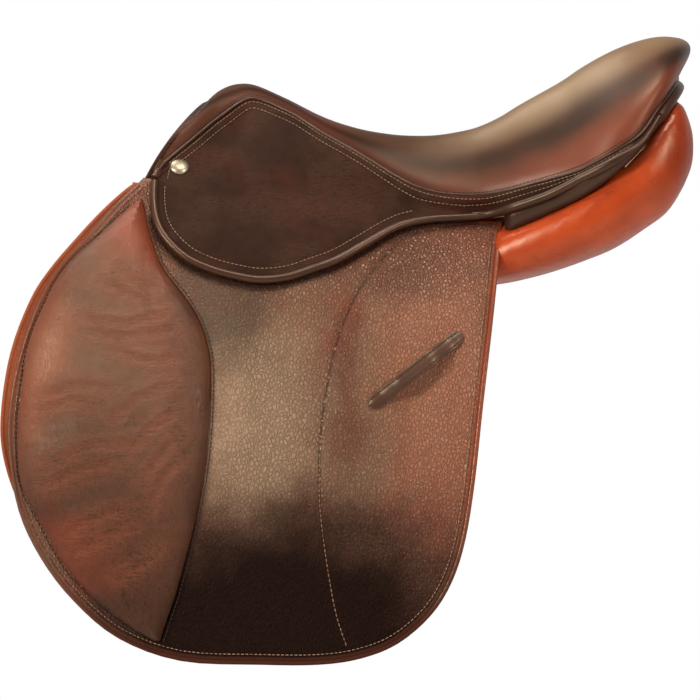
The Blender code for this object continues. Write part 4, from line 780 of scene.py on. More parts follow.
def beechWood():
    # laminated beech, its plies and flecks along the board
    s = Shader("beech")
    plies = s.bands("Z", 160.0, s.stretched((1.0, 0.6, 1.0)), Distortion=3.0, Detail=2.0)
    fleck = s.noise(260, 4, 0.7, s.stretched((0.15, 1.0, 1.0)))
    colour = s.mix(plies * 0.6, (205, 168, 120), (172, 130, 86))
    colour = s.mix(fleck.smooth(0.58, 0.72) * 0.5, colour, (128, 88, 54))
    return s.finish(Base_Color=colour, Roughness=0.55 + fleck * 0.2, Normal=s.bump(plies + fleck, 0.00015))


def webWeave():
    # linen webbing, woven over and under
    s = Shader("web")
    warp, weft = s.bands("Y", 230.0, Distortion=0.4), s.bands("X", 160.0, Distortion=0.4)
    colour = s.mix(warp * weft, (150, 138, 112), (214, 204, 178))
    colour = s.mix(s.noise(25, 4).smooth(0.5, 0.8) * 0.4, colour, (142, 116, 84))
    return s.finish(Base_Color=colour, Roughness=0.85, Normal=s.bump(warp + weft, 0.0004))


def foamCells():
    s = Shader("foam")
    colour = s.mix(s.noise(20).smooth(0.4, 0.7), (222, 206, 158), (200, 176, 120))
    return s.finish(Base_Color=colour, Roughness=0.95, Normal=s.bump(s.cells(650), 0.0005))


def dress(piece, finish):
    piece.data.materials.clear()
    piece.data.materials.append(finishes[finish])


def settle(piece, finish, body=None, node=None):
    # its finish, the body it moves with and the solid it stands for
    dress(piece, finish)
    if node:
        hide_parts(node)
    if body:
        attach(piece, body)


def bothSides(stage, *builders):
    for side, sign in sides.items():
        for build in builders:
            build(side, sign)
    print(stage, "ready")


def sew(name, side, line, offset, thread, slot, body, *shape):
    # a row of stitches along a line of x and z, on a layer of the drape
    row = stitches(name, *drapeRow(line, offset, sides[side]), *shape)
    settle(row, thread, body)
    return row


finishes = {
    "skirt": skirtLeather(), "flap": flapLeather(), "pad": padLeather(), "seat": seatLeather(),
    "panel": panelLeather(),
    "sweat": plainLeather("sweat flap leather", (126, 62, 38), (148, 74, 44), 0.46, 800, 0.00018, (168, 84, 48)),
    "front": plainLeather("front leather", (72, 34, 25), (54, 28, 21), 0.40, 900, 0.00012, shine=0.2),
    "strap": plainLeather("strap leather", (84, 44, 30), (104, 54, 36), 0.48, 520, 0.00025, (58, 34, 26)),
    "keeper": plainLeather("keeper leather", (84, 55, 43), (60, 39, 30), 0.36, 500, 0.00006, shine=0.6),
    "rawEdge": plainLeather("raw edge", (128, 84, 58), (96, 60, 42), 0.75, 900, 0.00025),
    "tan": threadFinish("tan thread", (156, 124, 96), (112, 82, 60)),
    "dark": threadFinish("dark thread", (62, 40, 30), (38, 26, 22)),
    "welt": plainLeather("piping leather", (70, 42, 31), (56, 33, 25), 0.30, 900, 0.00004, shine=0.5),
    "steel": metalFinish("steel", (150, 150, 152), 0.34), "nickel": metalFinish("nickel", (190, 176, 150), 0.40),
    "blued": metalFinish("blued steel", (58, 54, 54), 0.42),
    "scrim": plainLeather("glued scrim", (58, 38, 29), (44, 30, 24), 0.62, 420, 0.0002),
    "beech": beechWood(), "web": webWeave(), "foam": foamCells(),
}
print("finishes ready")


# Camera, lights and floor first

camera = {"at": (-0.0692, -3.2, -0.0614), "width": 0.6055}
# name, place, what it faces, width, height and watts
lamps = [
    ("left light", (-2.3, -1.9, 1.1), (-0.2, -0.15, -0.05), 0.50, 0.80, 66),
    ("right light", (1.9, -2.3, 1.2), (0.0, -0.15, 0.0), 0.50, 0.80, 38),
    ("top light", (0.1, -0.9, 2.4), (0.05, 0.0, 0.1), 1.0, 0.5, 36),
    ("high light", (-1.0, 0.6, 2.1), (0.08, 0.0, 0.12), 0.9, 0.9, 20),
]


bpy.ops.object.camera_add(location=camera["at"], rotation=(math.pi / 2, 0, 0))
bpy.context.scene.camera = bpy.context.object
bpy.context.object.data.sensor_width = 36
bpy.context.object.data.lens = 36 * -camera["at"][1] / camera["width"]
for name, place, target, width, height, power in lamps:
    bpy.ops.object.light_add(type="AREA", location=place)
    lamp = bpy.context.object
    lamp.name = name
    lamp.data.shape = "RECTANGLE"
    lamp.data.size, lamp.data.size_y = width, height
    lamp.data.energy = power
    lamp.data.color = (1.0, 0.95, 0.88)
    lamp.rotation_euler = (Vector(target) - lamp.location).to_track_quat("-Z", "Y").to_euler()

# the white backdrop stands behind the saddle, so gloss shows it there and the dimmer room elsewhere
sky = Shader("studio", "worlds")
bpy.context.scene.world = sky.material
ways = sky.node("ShaderNodeTexCoord", {}, {}, "Generated")
y, z = [sky.node("ShaderNodeSeparateXYZ", {}, {0: ways}, axis) for axis in "YZ"]
seen, inGloss, through = [sky.node("ShaderNodeLightPath", {}, {}, f"Is {kind} Ray")
                          for kind in ("Camera", "Glossy", "Transmission")]
backdrop = y.smooth(-0.1, 0.5, 0, 0.4) * z.smooth(0.25, 0.75, 1, 0)
shown = seen.math("MAXIMUM", inGloss * backdrop).math("MAXIMUM", through)
sky.put(sky.base, "Color", (1, 1, 1, 1))
sky.put(sky.base, "Strength", shown.smooth(0, 1, 0.13, 1.0))
bpy.context.scene.view_settings.view_transform = "Standard"

bpy.ops.mesh.primitive_circle_add(vertices=96, radius=2.4, fill_type="NGON", location=(0, 0, -0.62))
floor = bpy.context.object
floor.name = "floor"
paper = Shader("pale paper")
paper.finish(Base_Color=(0.82, 0.82, 0.82, 1), Roughness=0.9)
floor.data.materials.append(paper.material)
print("camera, lights and floor ready")


# Flaps, sweat flaps and what lies between them

flapSpec = {"pitch": 0.0045, "rounding": 0.0013, "beads": (0.0034, 0.0068), "stitchIn": 0.0085, "step": 0.0014}


def closedOnFold(edge):
    # an edge closed along the fold line, with a notch that leaves the stirrup bar free
    def top(x):
        return foldZ(x) - 0.0006

    first, last = edge[0][0], edge[-1][0]
    corners = [(last, top(last) + 0.0030), (0.040, top(0.040)), (notch["rear"], top(notch["rear"])),
               (notch["rear"], notch["floor"]), (notch["front"], notch["floor"]),
               (notch["front"], top(notch["front"])), (first, top(first))]
    return np.array([tuple(p) for p in edge if p[1] < top(p[0]) - 0.0015] + corners)


def topFree(x, z):
    # 0 at the fold line, 1 where the leather's edge is free
    return ease((foldZ(x) - z - 0.002) / 0.006)


padLine = spline(outlines["padSeam"], 8)


def flapRelief(x, z, edge):
    # the flap's own leather starts behind the pad, a step up, and thins out towards the middle
    gap, side = distanceTo(np.stack([x, z], axis=1), padLine)
    step = flapSpec["step"] * ease(gap / 0.0006) * (1 - ease(gap / 0.035))
    return np.where((side > 0) & (z < 0.066), step, 0.0) * ease((edge - 0.009) / 0.004)


def below(line, room):
    # the points of a line that lie at least this far below the fold line
    return line[line[:, 1] < foldZ(line[:, 0]) - room]


def markLine(piece, name, line, reach):
    # how near each point is to a line, seen from the side
    spots = np.array([(v.co.x, v.co.z) for v in piece.data.vertices])
    mark(piece, name, np.clip(1 - distanceTo(spots, line)[0] / reach, 0, 1))


def buildFlap(side, sign):
    edge = spline(outlines["flap"], 4)
    free = below(edge, 0.004)
    rearLine = spline(outlines["rearLine"], 6)
    creases = [(shifted(free, bead), 0.0010, 0.0007) for bead in flapSpec["beads"]]
    creases += [(padLine, 0.0006, 0.0), (rearLine, 0.0017, 0.0010)]
    flap = leatherSheet(side + "Flap", sign, closedOnFold(edge), layers["flapOuter"], layers["flapThickness"],
                        flapSpec["pitch"], flapSpec["rounding"], creases, relief=flapRelief, keepSharp=topFree)
    markLine(flap, "rearLine", rearLine, 0.0020)
    markLine(flap, "underSkirt", spline(outlines["skirt"][2:17], 6), 0.0125)
    settle(flap, "flap", side + "_flap", side + "_flap")
    around = np.array([p for p in shifted(free, flapSpec["stitchIn"]) if p[0] > -0.2 or p[1] < -0.235])
    for name, line, pitch in (("Edge", around[:-3], 0.0036), ("Rear", spline(outlines["rearLine"][9:], 6), 0.0040)):
        sew(f"{side}Flap{name}Stitches", side, even(line, 0.002), layers["flapOuter"] + 0.0001, "tan", "flap_leather",
            side + "_flap", pitch, pitch * 0.74, 0.00036)


def buildSweatFlap(side, sign):
    def outer(x):
        return layers["flapOuter"] + layers["flapThickness"] + 0.0003 + layers["strapRoom"] * strapRoom(x)

    edge = spline(outlines["sweatFlap"], 4)
    outline = closedOnFold(below(edge, 0.006))
    outline[:, 1] = np.minimum(outline[:, 1], foldZ(outline[:, 0]) - 0.0052)
    creases = [(shifted(below(edge, 0.010), 0.0036), 0.0010, 0.0006)]
    sweat = leatherSheet(side + "SweatFlap", sign, outline, outer, layers["sweatThickness"], 0.007, 0.0011, creases)
    settle(sweat, "sweat", "saddle", side + "_sweat_flap")


strapSpec = {"x": (-0.108, -0.070, -0.032), "width": 0.027, "top": 0.014, "length": 0.285, "point": 0.018,
             "holes": 6, "holePitch": 0.0255, "holeRadius": 0.0019, "edge": 0.0028}
guardSpec = {"beyond": 0.007, "top": 0.070, "height": 0.078, "corner": 0.012, "stitchIn": 0.006}


def arc(x, z, radius, angles):
    return np.stack([x + radius * np.cos(angles), z + radius * np.sin(angles)], axis=1)


def buildStraps(side, sign):
    spec, half = strapSpec, strapSpec["width"] / 2
    for number, x in enumerate(spec["x"], 1):
        name, body = f"{side}Strap{number}", f"{side}_strap_{number}"
        fold = foldZ(x)
        top, bottom = fold - spec["top"] - half, fold - spec["top"] - spec["length"]
        outline = np.concatenate([arc(x, top, half, np.linspace(0, math.pi, 13)), [
            (x - half, bottom + spec["point"]), (x - half * 0.35, bottom),
            (x + half * 0.35, bottom), (x + half, bottom + spec["point"])]])
        holes = [arc(x, bottom + spec["point"] + 0.020 + i * spec["holePitch"], spec["holeRadius"],
                     np.arange(14) * 2 * math.pi / 14) for i in range(spec["holes"])]
        edges = [x + s * (half - spec["edge"]) for s in (-1, 1)]
        lines = [(np.array([(at, top - 0.004), (at, bottom + 0.020)]), 0.0007, 0.0003) for at in edges]
        strap = leatherSheet(name, sign, outline, layers["strapOuter"], layers["strapThickness"], 0.005, 0.0011,
                             lines, holes)
        settle(strap, "strap", body, f"{side}_girth_strap_{number}")
        for at, letter in zip(edges, "AB"):
            sew(f"{name}Stitches{letter}", side, even([(at, top + 0.002), (at, top - 0.055)], 0.002),
                layers["strapOuter"] + 0.0002, "tan", "strap_leather", body, *threads["strap"])


def buildGuard(side, sign):
    spec, corner = guardSpec, guardSpec["corner"]
    beyond = strapSpec["width"] / 2 + spec["beyond"]
    low, high = strapSpec["x"][0] - beyond, strapSpec["x"][-1] + beyond
    top = foldZ((low + high) / 2) - spec["top"]
    bottom = top - spec["height"]
    outline = np.concatenate([arc(x, z, corner, np.radians(turn + np.arange(0, 91, 10))) for x, z, turn in (
        (low + corner, bottom + corner, 180), (high - corner, bottom + corner, 270),
        (high - corner, top - corner, 0), (low + corner, top - corner, 90))])
    inner = insetLoop(outline, spec["stitchIn"])
    guard = leatherSheet(side + "BuckleGuard", sign, outline, layers["guardOuter"], layers["guardThickness"],
                         0.006, 0.0009, [(np.concatenate([inner, inner[:1]]), 0.0008, 0.0003)])
    settle(guard, "strap", side + "_strap_2", side + "_buckle_guard")
    sew(side + "GuardStitches", side, even(inner, 0.002, True), layers["guardOuter"] + 0.0001, "tan",
        "strap_leather", side + "_strap_2", *threads["strap"], -0.0002)


bothSides("flaps, sweat flaps and girth straps", buildFlap, buildSweatFlap, buildStraps, buildGuard)


# The keeper for the stirrup leather's end

keeperSpec = {
    "front": (-0.053, -0.107), "rear": (0.023, -0.048), "width": 0.012, "thickness": 0.0025, "rise": 0.0085,
    "foot": 0.014, "lift": 0.0002,
    # across and up, from the raised edge to the middle
    "under": [(-1.0, 0.30), (-0.97, 0.12), (-0.90, 0.0)],
    "over": [(1.0, 0.62), (0.95, 0.86), (0.82, 0.98), (0.66, 0.90), (0.58, 0.92), (0.40, 1.08)],
}


def buildKeeper(side, sign):
    spec = keeperSpec
    front, rear = np.array(spec["front"]), np.array(spec["rear"])
    length = np.linalg.norm(rear - front)
    along = (rear - front) / length
    across = np.array([-along[1], along[0]])
    under, over = [np.array(spec[key]) for key in ("under", "over")]
    section = np.concatenate([under, (under * (-1, 1))[::-1], over, [(0.0, 1.16)], (over * (-1, 1))[::-1]])
    rings, rows = [], {-1: [], 1: []}
    for s in np.linspace(0, length, 61):
        near = min(s, length - s)
        foot = spec["foot"] * 0.7
        rise = spec["rise"] * float(ease((near - foot) / (length * 0.36 - foot)))
        half = spec["width"] / 2 * (0.42 + 0.58 * math.sqrt(max(1 - (1 - min(near / 0.012, 1)) ** 2, 0)))
        thick = spec["thickness"] * (0.55 + 0.45 * float(ease(near / 0.006)))
        flat = front + along * s + across * half * section[:, :1]
        lift = spec["lift"] + rise + thick * section[:, 1]
        rings.append(onDrape(flat[:, 0], flat[:, 1], layers["flapOuter"] - lift)[0] * (1, sign, 1))
        for edge, row in rows.items():
            flat = front + along * s + across * edge * half * 0.62
            row.append(onDrape(*flat, layers["flapOuter"] - spec["lift"] - rise - 0.93 * thick))
    keeper = ringSolid(side + "Keeper", np.array(rings))
    settle(keeper, "keeper", side + "_flap", side + "_leather_keeper")
    for letter, row in zip("AB", rows.values()):
        path, normals = [np.array(part) * (1, sign, 1) for part in zip(*row[2:-2])]
        thread = stitches(f"{side}KeeperStitches{letter}", path, normals, *threads["keeper"])
        settle(thread, "dark", side + "_flap")


bothSides("keepers", buildKeeper)


# Knee pads, stuffed and swollen by air pressure, then creased

padSpec = {"height": 0.0155, "front": 0.030, "rear": 0.024, "pitch": 0.0038, "pressure": 4.0, "most": 0.0040}
frontLine = spline(np.array([
    (-254, 60), (-280, 35), (-307, 8), (-323, -22), (-336, -57), (-342, -98), (-344, -138), (-340, -173),
    (-322, -207), (-303, -239), (-276, -267), (-249, -288), (-229, -299)]) / 1000, 6)
padEdge = np.concatenate([shifted(padLine, -0.0007), shifted(frontLine, 0.0016)[::-1]])


def padDome(x, z, edge):
    # round shoulders, wider in front, and a crown that is a little fuller above the middle
    flat = np.stack([x, z], axis=1)
    ahead, behind = distanceTo(flat, frontLine)[0], distanceTo(flat, padLine)[0]
    shoulder = padSpec["rear"] + (padSpec["front"] - padSpec["rear"]) * ease((behind - ahead) / 0.04 + 0.5)
    share = np.clip(edge / shoulder, 0, 1)
    crown = 0.94 + 0.06 * np.cos((z + 0.09) / 0.16)
    return padSpec["height"] * np.sqrt(1 - (1 - share) ** 2) * crown


cloth = {"quality": 5, "mass": 0.4, "tension_stiffness": 12, "compression_stiffness": 12, "shear_stiffness": 6,
         "bending_stiffness": 0.6, "use_pressure": True, "vertex_group_mass": "held"}
clothFrames = 20


def swell(piece, spec, pinned):
    # air pressure in a cloth skin, then no point further than the cap from where it began
    if "voxel" in spec:
        modify(piece, "REMESH", mode="VOXEL", voxel_size=spec["voxel"], use_smooth_shade=True)
    start = np.array([v.co for v in piece.data.vertices])
    group = piece.vertex_groups.new(name="held")
    for index in np.nonzero(pinned(start))[0]:
        group.add([int(index)], 1.0, "REPLACE")
    skin = piece.modifiers.new("Cloth", "CLOTH")
    for key, value in cloth.items():
        setattr(skin.settings, key, value)
    skin.settings.uniform_pressure_force = spec["pressure"]
    skin.settings.effector_weights.gravity = 0
    skin.point_cache.frame_start, skin.point_cache.frame_end = 1, clothFrames
    for number in range(1, clothFrames + 1):
        bpy.context.scene.frame_set(number)
    only(piece)
    bpy.ops.object.modifier_apply(modifier=skin.name)
    bpy.context.scene.frame_set(1)
    move = np.array([v.co for v in piece.data.vertices]) - start
    far = np.linalg.norm(move, axis=1, keepdims=True)
    end = start + move * np.minimum(1.0, spec["most"] / np.maximum(far, 1e-9))
    for vertex, place in zip(piece.data.vertices, end):
        vertex.co = place
    piece.vertex_groups.clear()


creaseStrokes = np.array([
    ((-322, -100), (-290, -90), (-262, -94)), ((-326, -112), (-296, -104), (-270, -110)),
    ((-318, -158), (-280, -140), (-240, -138)), ((-316, -172), (-286, -158), (-256, -152)),
    ((-214, -90), (-240, -100), (-262, -118)), ((-206, -110), (-226, -122), (-250, -146)),
    ((-204, -130), (-222, -146), (-238, -168)), ((-206, -150), (-222, -168), (-230, -190)),
    ((-262, 6), (-246, -4), (-228, -12)), ((-272, -4), (-250, -16), (-226, -24)),
    ((-290, -34), (-256, -40), (-222, -32)), ((-286, -46), (-252, -50), (-212, -44)),
    ((-262, -62), (-236, -70), (-206, -66)), ((-300, -212), (-272, -196), (-246, -192)),
    ((-296, -228), (-268, -214), (-246, -206)), ((-256, -246), (-238, -236), (-226, -226))]) / 1000


def crease(piece):
    # soft folds where the knee has pressed the pad, and a little unevenness of the stuffing
    points = np.array([v.co for v in piece.data.vertices])
    normals = np.array([v.normal for v in piece.data.vertices])
    flat = points[:, [0, 2]]
    depth, folded = np.zeros(len(points)), np.zeros(len(points))
    for number, stroke in enumerate(creaseStrokes):
        line = spline(stroke, 6)
        gap, _ = distanceTo(flat, line)
        ends = np.minimum(np.linalg.norm(flat - line[0], axis=1), np.linalg.norm(flat - line[-1], axis=1))
        wide = 0.0032 + 0.0006 * (number % 3)
        depth += 0.00080 * np.exp(-(gap / wide) ** 2) * ease(ends / 0.012 + 0.2)
        depth -= 0.00045 * np.exp(-((gap - 0.006) / 0.003) ** 2) * ease(ends / 0.016)
        folded = np.maximum(folded, np.exp(-(gap / 0.011) ** 2) * ease(ends / 0.010 + 0.4))
    lumps = np.array([noise.noise(Vector(p) * 26) for p in points])
    fine = np.array([noise.noise(Vector((p[0] * 90, p[1] * 90, p[2] * 150))) for p in points])
    _, out = onDrape(flat[:, 0], flat[:, 1], 0)
    facing = np.clip((normals * out).sum(axis=1), 0, 1)
    move = (0.0007 * lumps + 0.00022 * fine - depth) * facing
    for vertex, normal, amount in zip(piece.data.vertices, normals, move):
        vertex.co = Vector(vertex.co) + Vector(normal) * float(amount)
    mark(piece, "fold", folded)


def padHeld(points):
    # what lies on the flap, or close to the seam
    width = onDrape(points[:, 0], points[:, 2], layers["flapOuter"])[0][:, 1]
    return np.abs(points[:, 1]) < width + 0.0030


# before it is stuffed, a pad is a dome over its outline, with its underside on the flap
pad = leatherSheet("leftKneePad", 1, padEdge, layers["flapOuter"] - 0.0009, 0.0005, padSpec["pitch"], 0.0004,
                   relief=padDome, tight=(0.0016, 0.0032, 0.0055, 0.0085, 0.012))
swell(pad, padSpec, padHeld)
modify(pad, "SUBSURF", levels=1, render_levels=1)
crease(pad)
pad.name = pad.data.name = "rightKneePad"
soften(pad, 60)
for piece, side in ((pad, "right"), (mirrored(pad, "leftKneePad"), "left")):
    settle(piece, "pad", side + "_flap", side + "_knee_pad")

for side, sign in sides.items():
    body = side + "_flap"
    sew(side + "PadSeamStitches", side, even(shifted(padLine, 0.0022), 0.002)[8:],
        layers["flapOuter"] - flapSpec["step"] - 0.0001, "dark", "flap_leather", body, *threads["pad"])
    sew(side + "PadFrontStitches", side, even(frontLine, 0.002), layers["flapOuter"] - 0.0003, "dark",
        "flap_leather", body, *threads["padFront"])
    path, _ = drapeRow(even(padLine[:60], 0.002), layers["flapOuter"] - flapSpec["step"] * 0.7, sign)
    settle(tube(side + "PadCutEdge", path, 0.0006, 2), "rawEdge", body)
print("knee pads ready")


# The seat: calf over foam, from the pommel to the cantle

crowns = {key: np.array(value) for key, value in {
    "head": ((0.40, 0.0), (0.78, 0.42)), "seat": ((0.85, 0.0), (0.72, 0.78)), "rear": ((0.62, 0.0), (1.00, 0.35)),
    "bends": (1.90, 1.35, 1.20)}.items()}
seatSpec = {"steps": 7, "across": 44, "leather": 0.0025, "skive": (0.5, 0.6, 0.8, 1.0), "foamReach": 0.74,
            "foamGap": 0.0020}


def seatRib(index, ts):
    x, z, rise, standOut, _ = seatRibs[index]
    share, rear = ease((x + 0.150) / 0.120), ease((x - 0.060) / 0.110)
    first, second = (crowns["head"] + (crowns["seat"] - crowns["head"]) * share
                     + (crowns["rear"] - crowns["seat"]) * rear)
    a, b, c = 3 * (1 - ts) ** 2 * ts, 3 * (1 - ts) * ts**2, ts**3
    out, down = a * first[0] + b * second[0] + c, a * first[1] + b * second[1] + c
    bend = crowns["bends"][index] if index < 3 else 1.0
    flat = seam[index][:2] - (x, 0)
    outward = seamOutward[index]
    height = z + (seam[index][2] - z) * down + rise * np.sin(math.pi * np.minimum(out / 0.95, 1)) ** 2
    bulge = 0.8 * standOut * np.sin(math.pi * ts)
    return np.stack([x + flat[0] * out**bend + outward[0] * bulge, flat[1] * out + outward[1] * bulge, height],
                    axis=1)


def seatGrid(ts):
    ribs = [seatRib(i, ts) for i in range(len(seam))]
    grid = spline(np.array(ribs + [ribs[-2] * (1, -1, 1)]), seatSpec["steps"])
    return grid[:(len(seam) - 1) * seatSpec["steps"] + 1]


def gridNormals(grid):
    along, out = np.gradient(grid, axis=0), np.gradient(grid, axis=1)
    return unit(np.cross(along, out))


def bothHalves(grid):
    return np.concatenate([grid[:, :0:-1] * (1, -1, 1), grid], axis=1)


def buildSeat():
    half = seatGrid(np.linspace(0, 1, seatSpec["across"]))
    whole = bothHalves(half)
    normals = gridNormals(whole)
    normals[-1, :, 1] = 0
    normals[-1] = unit(normals[-1])
    skive = np.interp(np.arange(len(whole)) / seatSpec["steps"], range(4), seatSpec["skive"])
    under = whole - normals * (seatSpec["leather"] * skive)[:, None, None]
    seatPiece = gridSolid("seat", whole, under, 55, True)
    places = np.concatenate([whole.reshape(-1, 3), under.reshape(-1, 3)])
    across = np.tile(np.abs(np.linspace(-1, 1, whole.shape[1])), 2 * len(whole))
    tree = kdtree.KDTree(len(places))
    for i, place in enumerate(places):
        tree.insert(place, i)
    tree.balance()
    mark(seatPiece, "crest", [across[tree.find(v.co)[1]] for v in seatPiece.data.vertices])
    settle(seatPiece, "seat", "saddle", "seat_cover")
    return half


def buildFoam():
    ts = np.linspace(0, seatSpec["foamReach"], 20)
    whole = bothHalves(np.array([seatRib(i, ts) for i in range(len(seam))]))
    normals = gridNormals(whole)
    normals[:, :, 1][np.abs(whole[:, :, 1]) < 1e-6] = 0
    tops, bases = [], []
    for i in range(1, len(seam) - 2):
        x, z, _, _, foam = seatRibs[i]
        seamY, seamZ = seam[i][1:]
        top = whole[i] - normals[i] * (seatSpec["leather"] + seatSpec["foamGap"])
        level = z - foam
        flat = min(0.030, 0.6 * seamY)
        share = ease((np.abs(top[:, 1]) - flat) / (seamY - flat) / 1.2)
        base = np.minimum(level + (seamZ + 0.0055 - level) * share, top[:, 2] - 0.003)
        follow = share if i >= 3 else 1
        tops.append(top)
        bases.append(np.stack([x + (top[:, 0] - x) * follow, top[:, 1] * 0.985, base], axis=1))
    foamPiece = gridSolid("seatFoam", spline(np.array(tops), 3), spline(np.array(bases), 3), 60)
    settle(foamPiece, "foam", "saddle", "seat_foam")


seatHalf = buildSeat()
buildFoam()
seamLine = seatHalf[:, -1]
seamOut = gridNormals(seatHalf)[:, -1]
seamAlong = unit(np.gradient(seamLine, axis=0))
seamAlong[-1] = (0, -1, 0)
seamFall = seamLine - seatHalf[:, -3]
seamFall = unit(seamFall - (seamFall * seamAlong).sum(axis=1, keepdims=True) * seamAlong)


def roundTheBack(rows):
    return np.concatenate([rows, (rows * (1, -1, 1))[-2::-1]])


piping = tube("seatWelt", roundTheBack(seamLine + seamFall * (welts["seat"] + 0.0006)), welts["seat"], 4)
settle(piping, "welt", "saddle", "seat_welt")
for side, sign in sides.items():
    path, out = [rows[3:-16] * (1, sign, 1) for rows in (seamLine - seamFall * 0.0022, seamOut)]
    row = stitches(side + "SeatStitches", path, out, *threads["seat"])
    settle(row, "dark", "saddle")
print("seat ready")


# Skirts: the upper part is sewn to the seat, the lower part folds up over the stirrup bar

skirtSpec = {"upperEnd": 18, "band": 0.0078, "stitch": 0.0090, "raise": 0.0007, "thickness": 0.004,
             "frontCorner": -0.2305, "foldEnd": 0.029, "lean": 0.30,
             # the rows of points from the seat down, near the seam
             "rows": (0, 0.0004, 0.0009, 0.0018, 0.0032, 0.005, 0.0066, 0.0078, 0.0084, 0.009, 0.0096, 0.0104, 0.012)}
skirtTail = np.array([(25, 47), (47, 49), (61, 52), (80, 58), (97, 64), (116, 73.5), (134, 85), (152, 100.5),
                      (169, 117), (181, 131), (190, 143)]) / 1000


def skirtColumns():
    # points of the upper skirt from the seat's welt down to the fold line, or to its own edge behind the flap
    steps, down, sizes = seatSpec["steps"], [], []
    for i in range(skirtSpec["upperEnd"] * steps + 1):
        gap = 2 * welts["seat"] + 0.0009
        top = seamLine[i] + seamFall[i] * gap
        if i < steps:
            ahead = seamLine[0] - seamLine[1]
            corner = (seamLine[0] + seamFall[0] * gap)[0]
            top = top + ahead / ahead[0] * (skirtSpec["frontCorner"] - corner) * (1 - i / steps)
        x = top[0]
        if x < skirtSpec["foldEnd"]:
            bottom = np.array([x, drapeWidth(x, 0.0), foldZ(x)])
            way = unit(np.array([0, drapeWidth(x, 0.001) - drapeWidth(x, 0.0), -0.001]))
        else:
            z = min(np.interp(x, skirtTail[:, 0], skirtTail[:, 1]) + 0.0063, top[2] - 0.003)
            join = ease((x - 0.036) / 0.034)
            wide = seamLine[i][1] + skirtSpec["lean"] * (seamLine[i][2] - z) + 0.0026 * ease((i / steps - 14) / 1.5)
            bottom = np.array([x, drapeWidth(x, max(foldZ(x) - z, 0.0)) * (1 - join) + wide * join, z])
            way = unit(np.array([0, skirtSpec["lean"], -1.0]))
        chord = bottom - top
        size = np.linalg.norm(chord)
        first = unit(0.45 * seamFall[i] + 0.55 * chord / size) * size
        second = unit(0.70 * way + 0.30 * chord / size) * size
        squeeze = min(1.0, size / 0.0165)
        upper = np.array(skirtSpec["rows"]) * squeeze
        s = np.concatenate([upper, upper[-1] + (size - upper[-1]) * np.linspace(0, 1, 27)[1:]]) / size
        t = s[:, None]
        down.append((2 * t**3 - 3 * t**2 + 1) * top + (t**3 - 2 * t**2 + t) * first
                    + (3 * t**2 - 2 * t**3) * bottom + (t**3 - t**2) * second)
        sizes.append((s * size, squeeze, size))
    return np.array(down), sizes


upperRows, upperSizes = skirtColumns()


def buildUpperSkirt(side, sign):
    grid, spec = upperRows, skirtSpec
    normals = gridNormals(grid)
    normals = np.where(normals[..., 1:2] < 0, -normals, normals)
    outer, inner = grid.copy(), grid.copy()
    lines = {"Seam": [], "Top": []}
    ways = []
    for i, (s, squeeze, size) in enumerate(upperSizes):
        line = spec["stitch"] * squeeze
        lift = spec["raise"] * (1 - ease((s - spec["band"] * squeeze) / (0.0010 * squeeze))) * ease(s / 0.0012)
        lift -= 0.0003 * np.clip(1 - ((s - line) / 0.0009) ** 2, 0, 1)
        if grid[i][0][0] > 0.062:
            lift -= 0.0010 - np.sqrt(np.maximum(0.0010**2 - np.clip(0.0010 - (size - s), 0, None) ** 2, 0))
        outer[i] += normals[i] * lift[:, None]
        inner[i] -= normals[i] * min(spec["thickness"], 0.45 * size)
        lines["Seam"].append(sampled(line, s, grid[i]))
        lines["Top"].append(sampled(0.0024 * squeeze, s, grid[i]))
        ways.append(sampled(line, s, normals[i]))
    skirt = gridSolid(side + "SkirtUpper", outer * (1, sign, 1), inner * (1, sign, 1), 50)
    settle(skirt, "skirt", None, side + "_skirt_upper")
    bend(skirt, side)
    ways = np.array(ways)[2:-10] * (1, sign, 1)
    for name, lift, height in (("Seam", 0, 0.0003), ("Top", spec["raise"], 0.0002)):
        path = np.array(lines[name])[2:-10] * (1, sign, 1) + ways * lift
        row = stitches(f"{side}Skirt{name}Stitches", path, ways, *threads[name.lower()], height)
        settle(row, "tan", "saddle")


def bend(piece, side, lower=False):
    # bakes the piece's transform into its mesh, for leather a little above the fold line or below it
    middle = -0.090
    at = Vector((middle, sides[side] * drapeShape["foldHalfWidth"], foldZ(middle)))
    if lower:
        side + "_flap"
        side + "_skirt"
        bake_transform(piece)
    else:
        side + "_flap"
        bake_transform(piece)


def buildLowerSkirt(side, sign):
    edge = spline(outlines["skirt"], 6)
    edge = edge[edge[:, 0] < 0.056]
    leather = below(shifted(edge, 2 * welts["skirt"] - 0.0006), 0.0010)
    low, high = leather[0][0], leather[-1][0]
    outline = np.concatenate([leather, [(high, foldZ(high)), (low, foldZ(low))]])
    stitch = below(shifted(edge, 2 * welts["skirt"] + 0.0062), 0.0030)
    skirt = leatherSheet(side + "SkirtLower", sign, outline, 0.0, layers["skirtThickness"], 0.0045, 0.0009,
                         [(stitch, 0.0010, 0.0003)], keepSharp=topFree)
    settle(skirt, "skirt", None, side + "_skirt_lower")
    bend(skirt, side, True)
    row = sew(side + "SkirtEdgeStitches", side, even(stitch, 0.002), 0.0, "tan", "skirt_leather", None,
              *threads["seam"], 0.0002)
    bend(row, side, True)
    path, _ = drapeRow(even(below(shifted(edge, welts["skirt"]), 0.0004), 0.003), 0.0005, sign)
    welt = tube(side + "SkirtLowerWelt", path, welts["skirt"] + 0.0005, 5)
    settle(welt, "welt", None, side + "_skirt_lower_welt")
    bend(welt, side, True)


def nearestColumn(x, end):
    # the column of the upper skirt whose top or bottom end is nearest to x
    return int(np.argmin(np.abs(upperRows[:, end, 0] - x)))


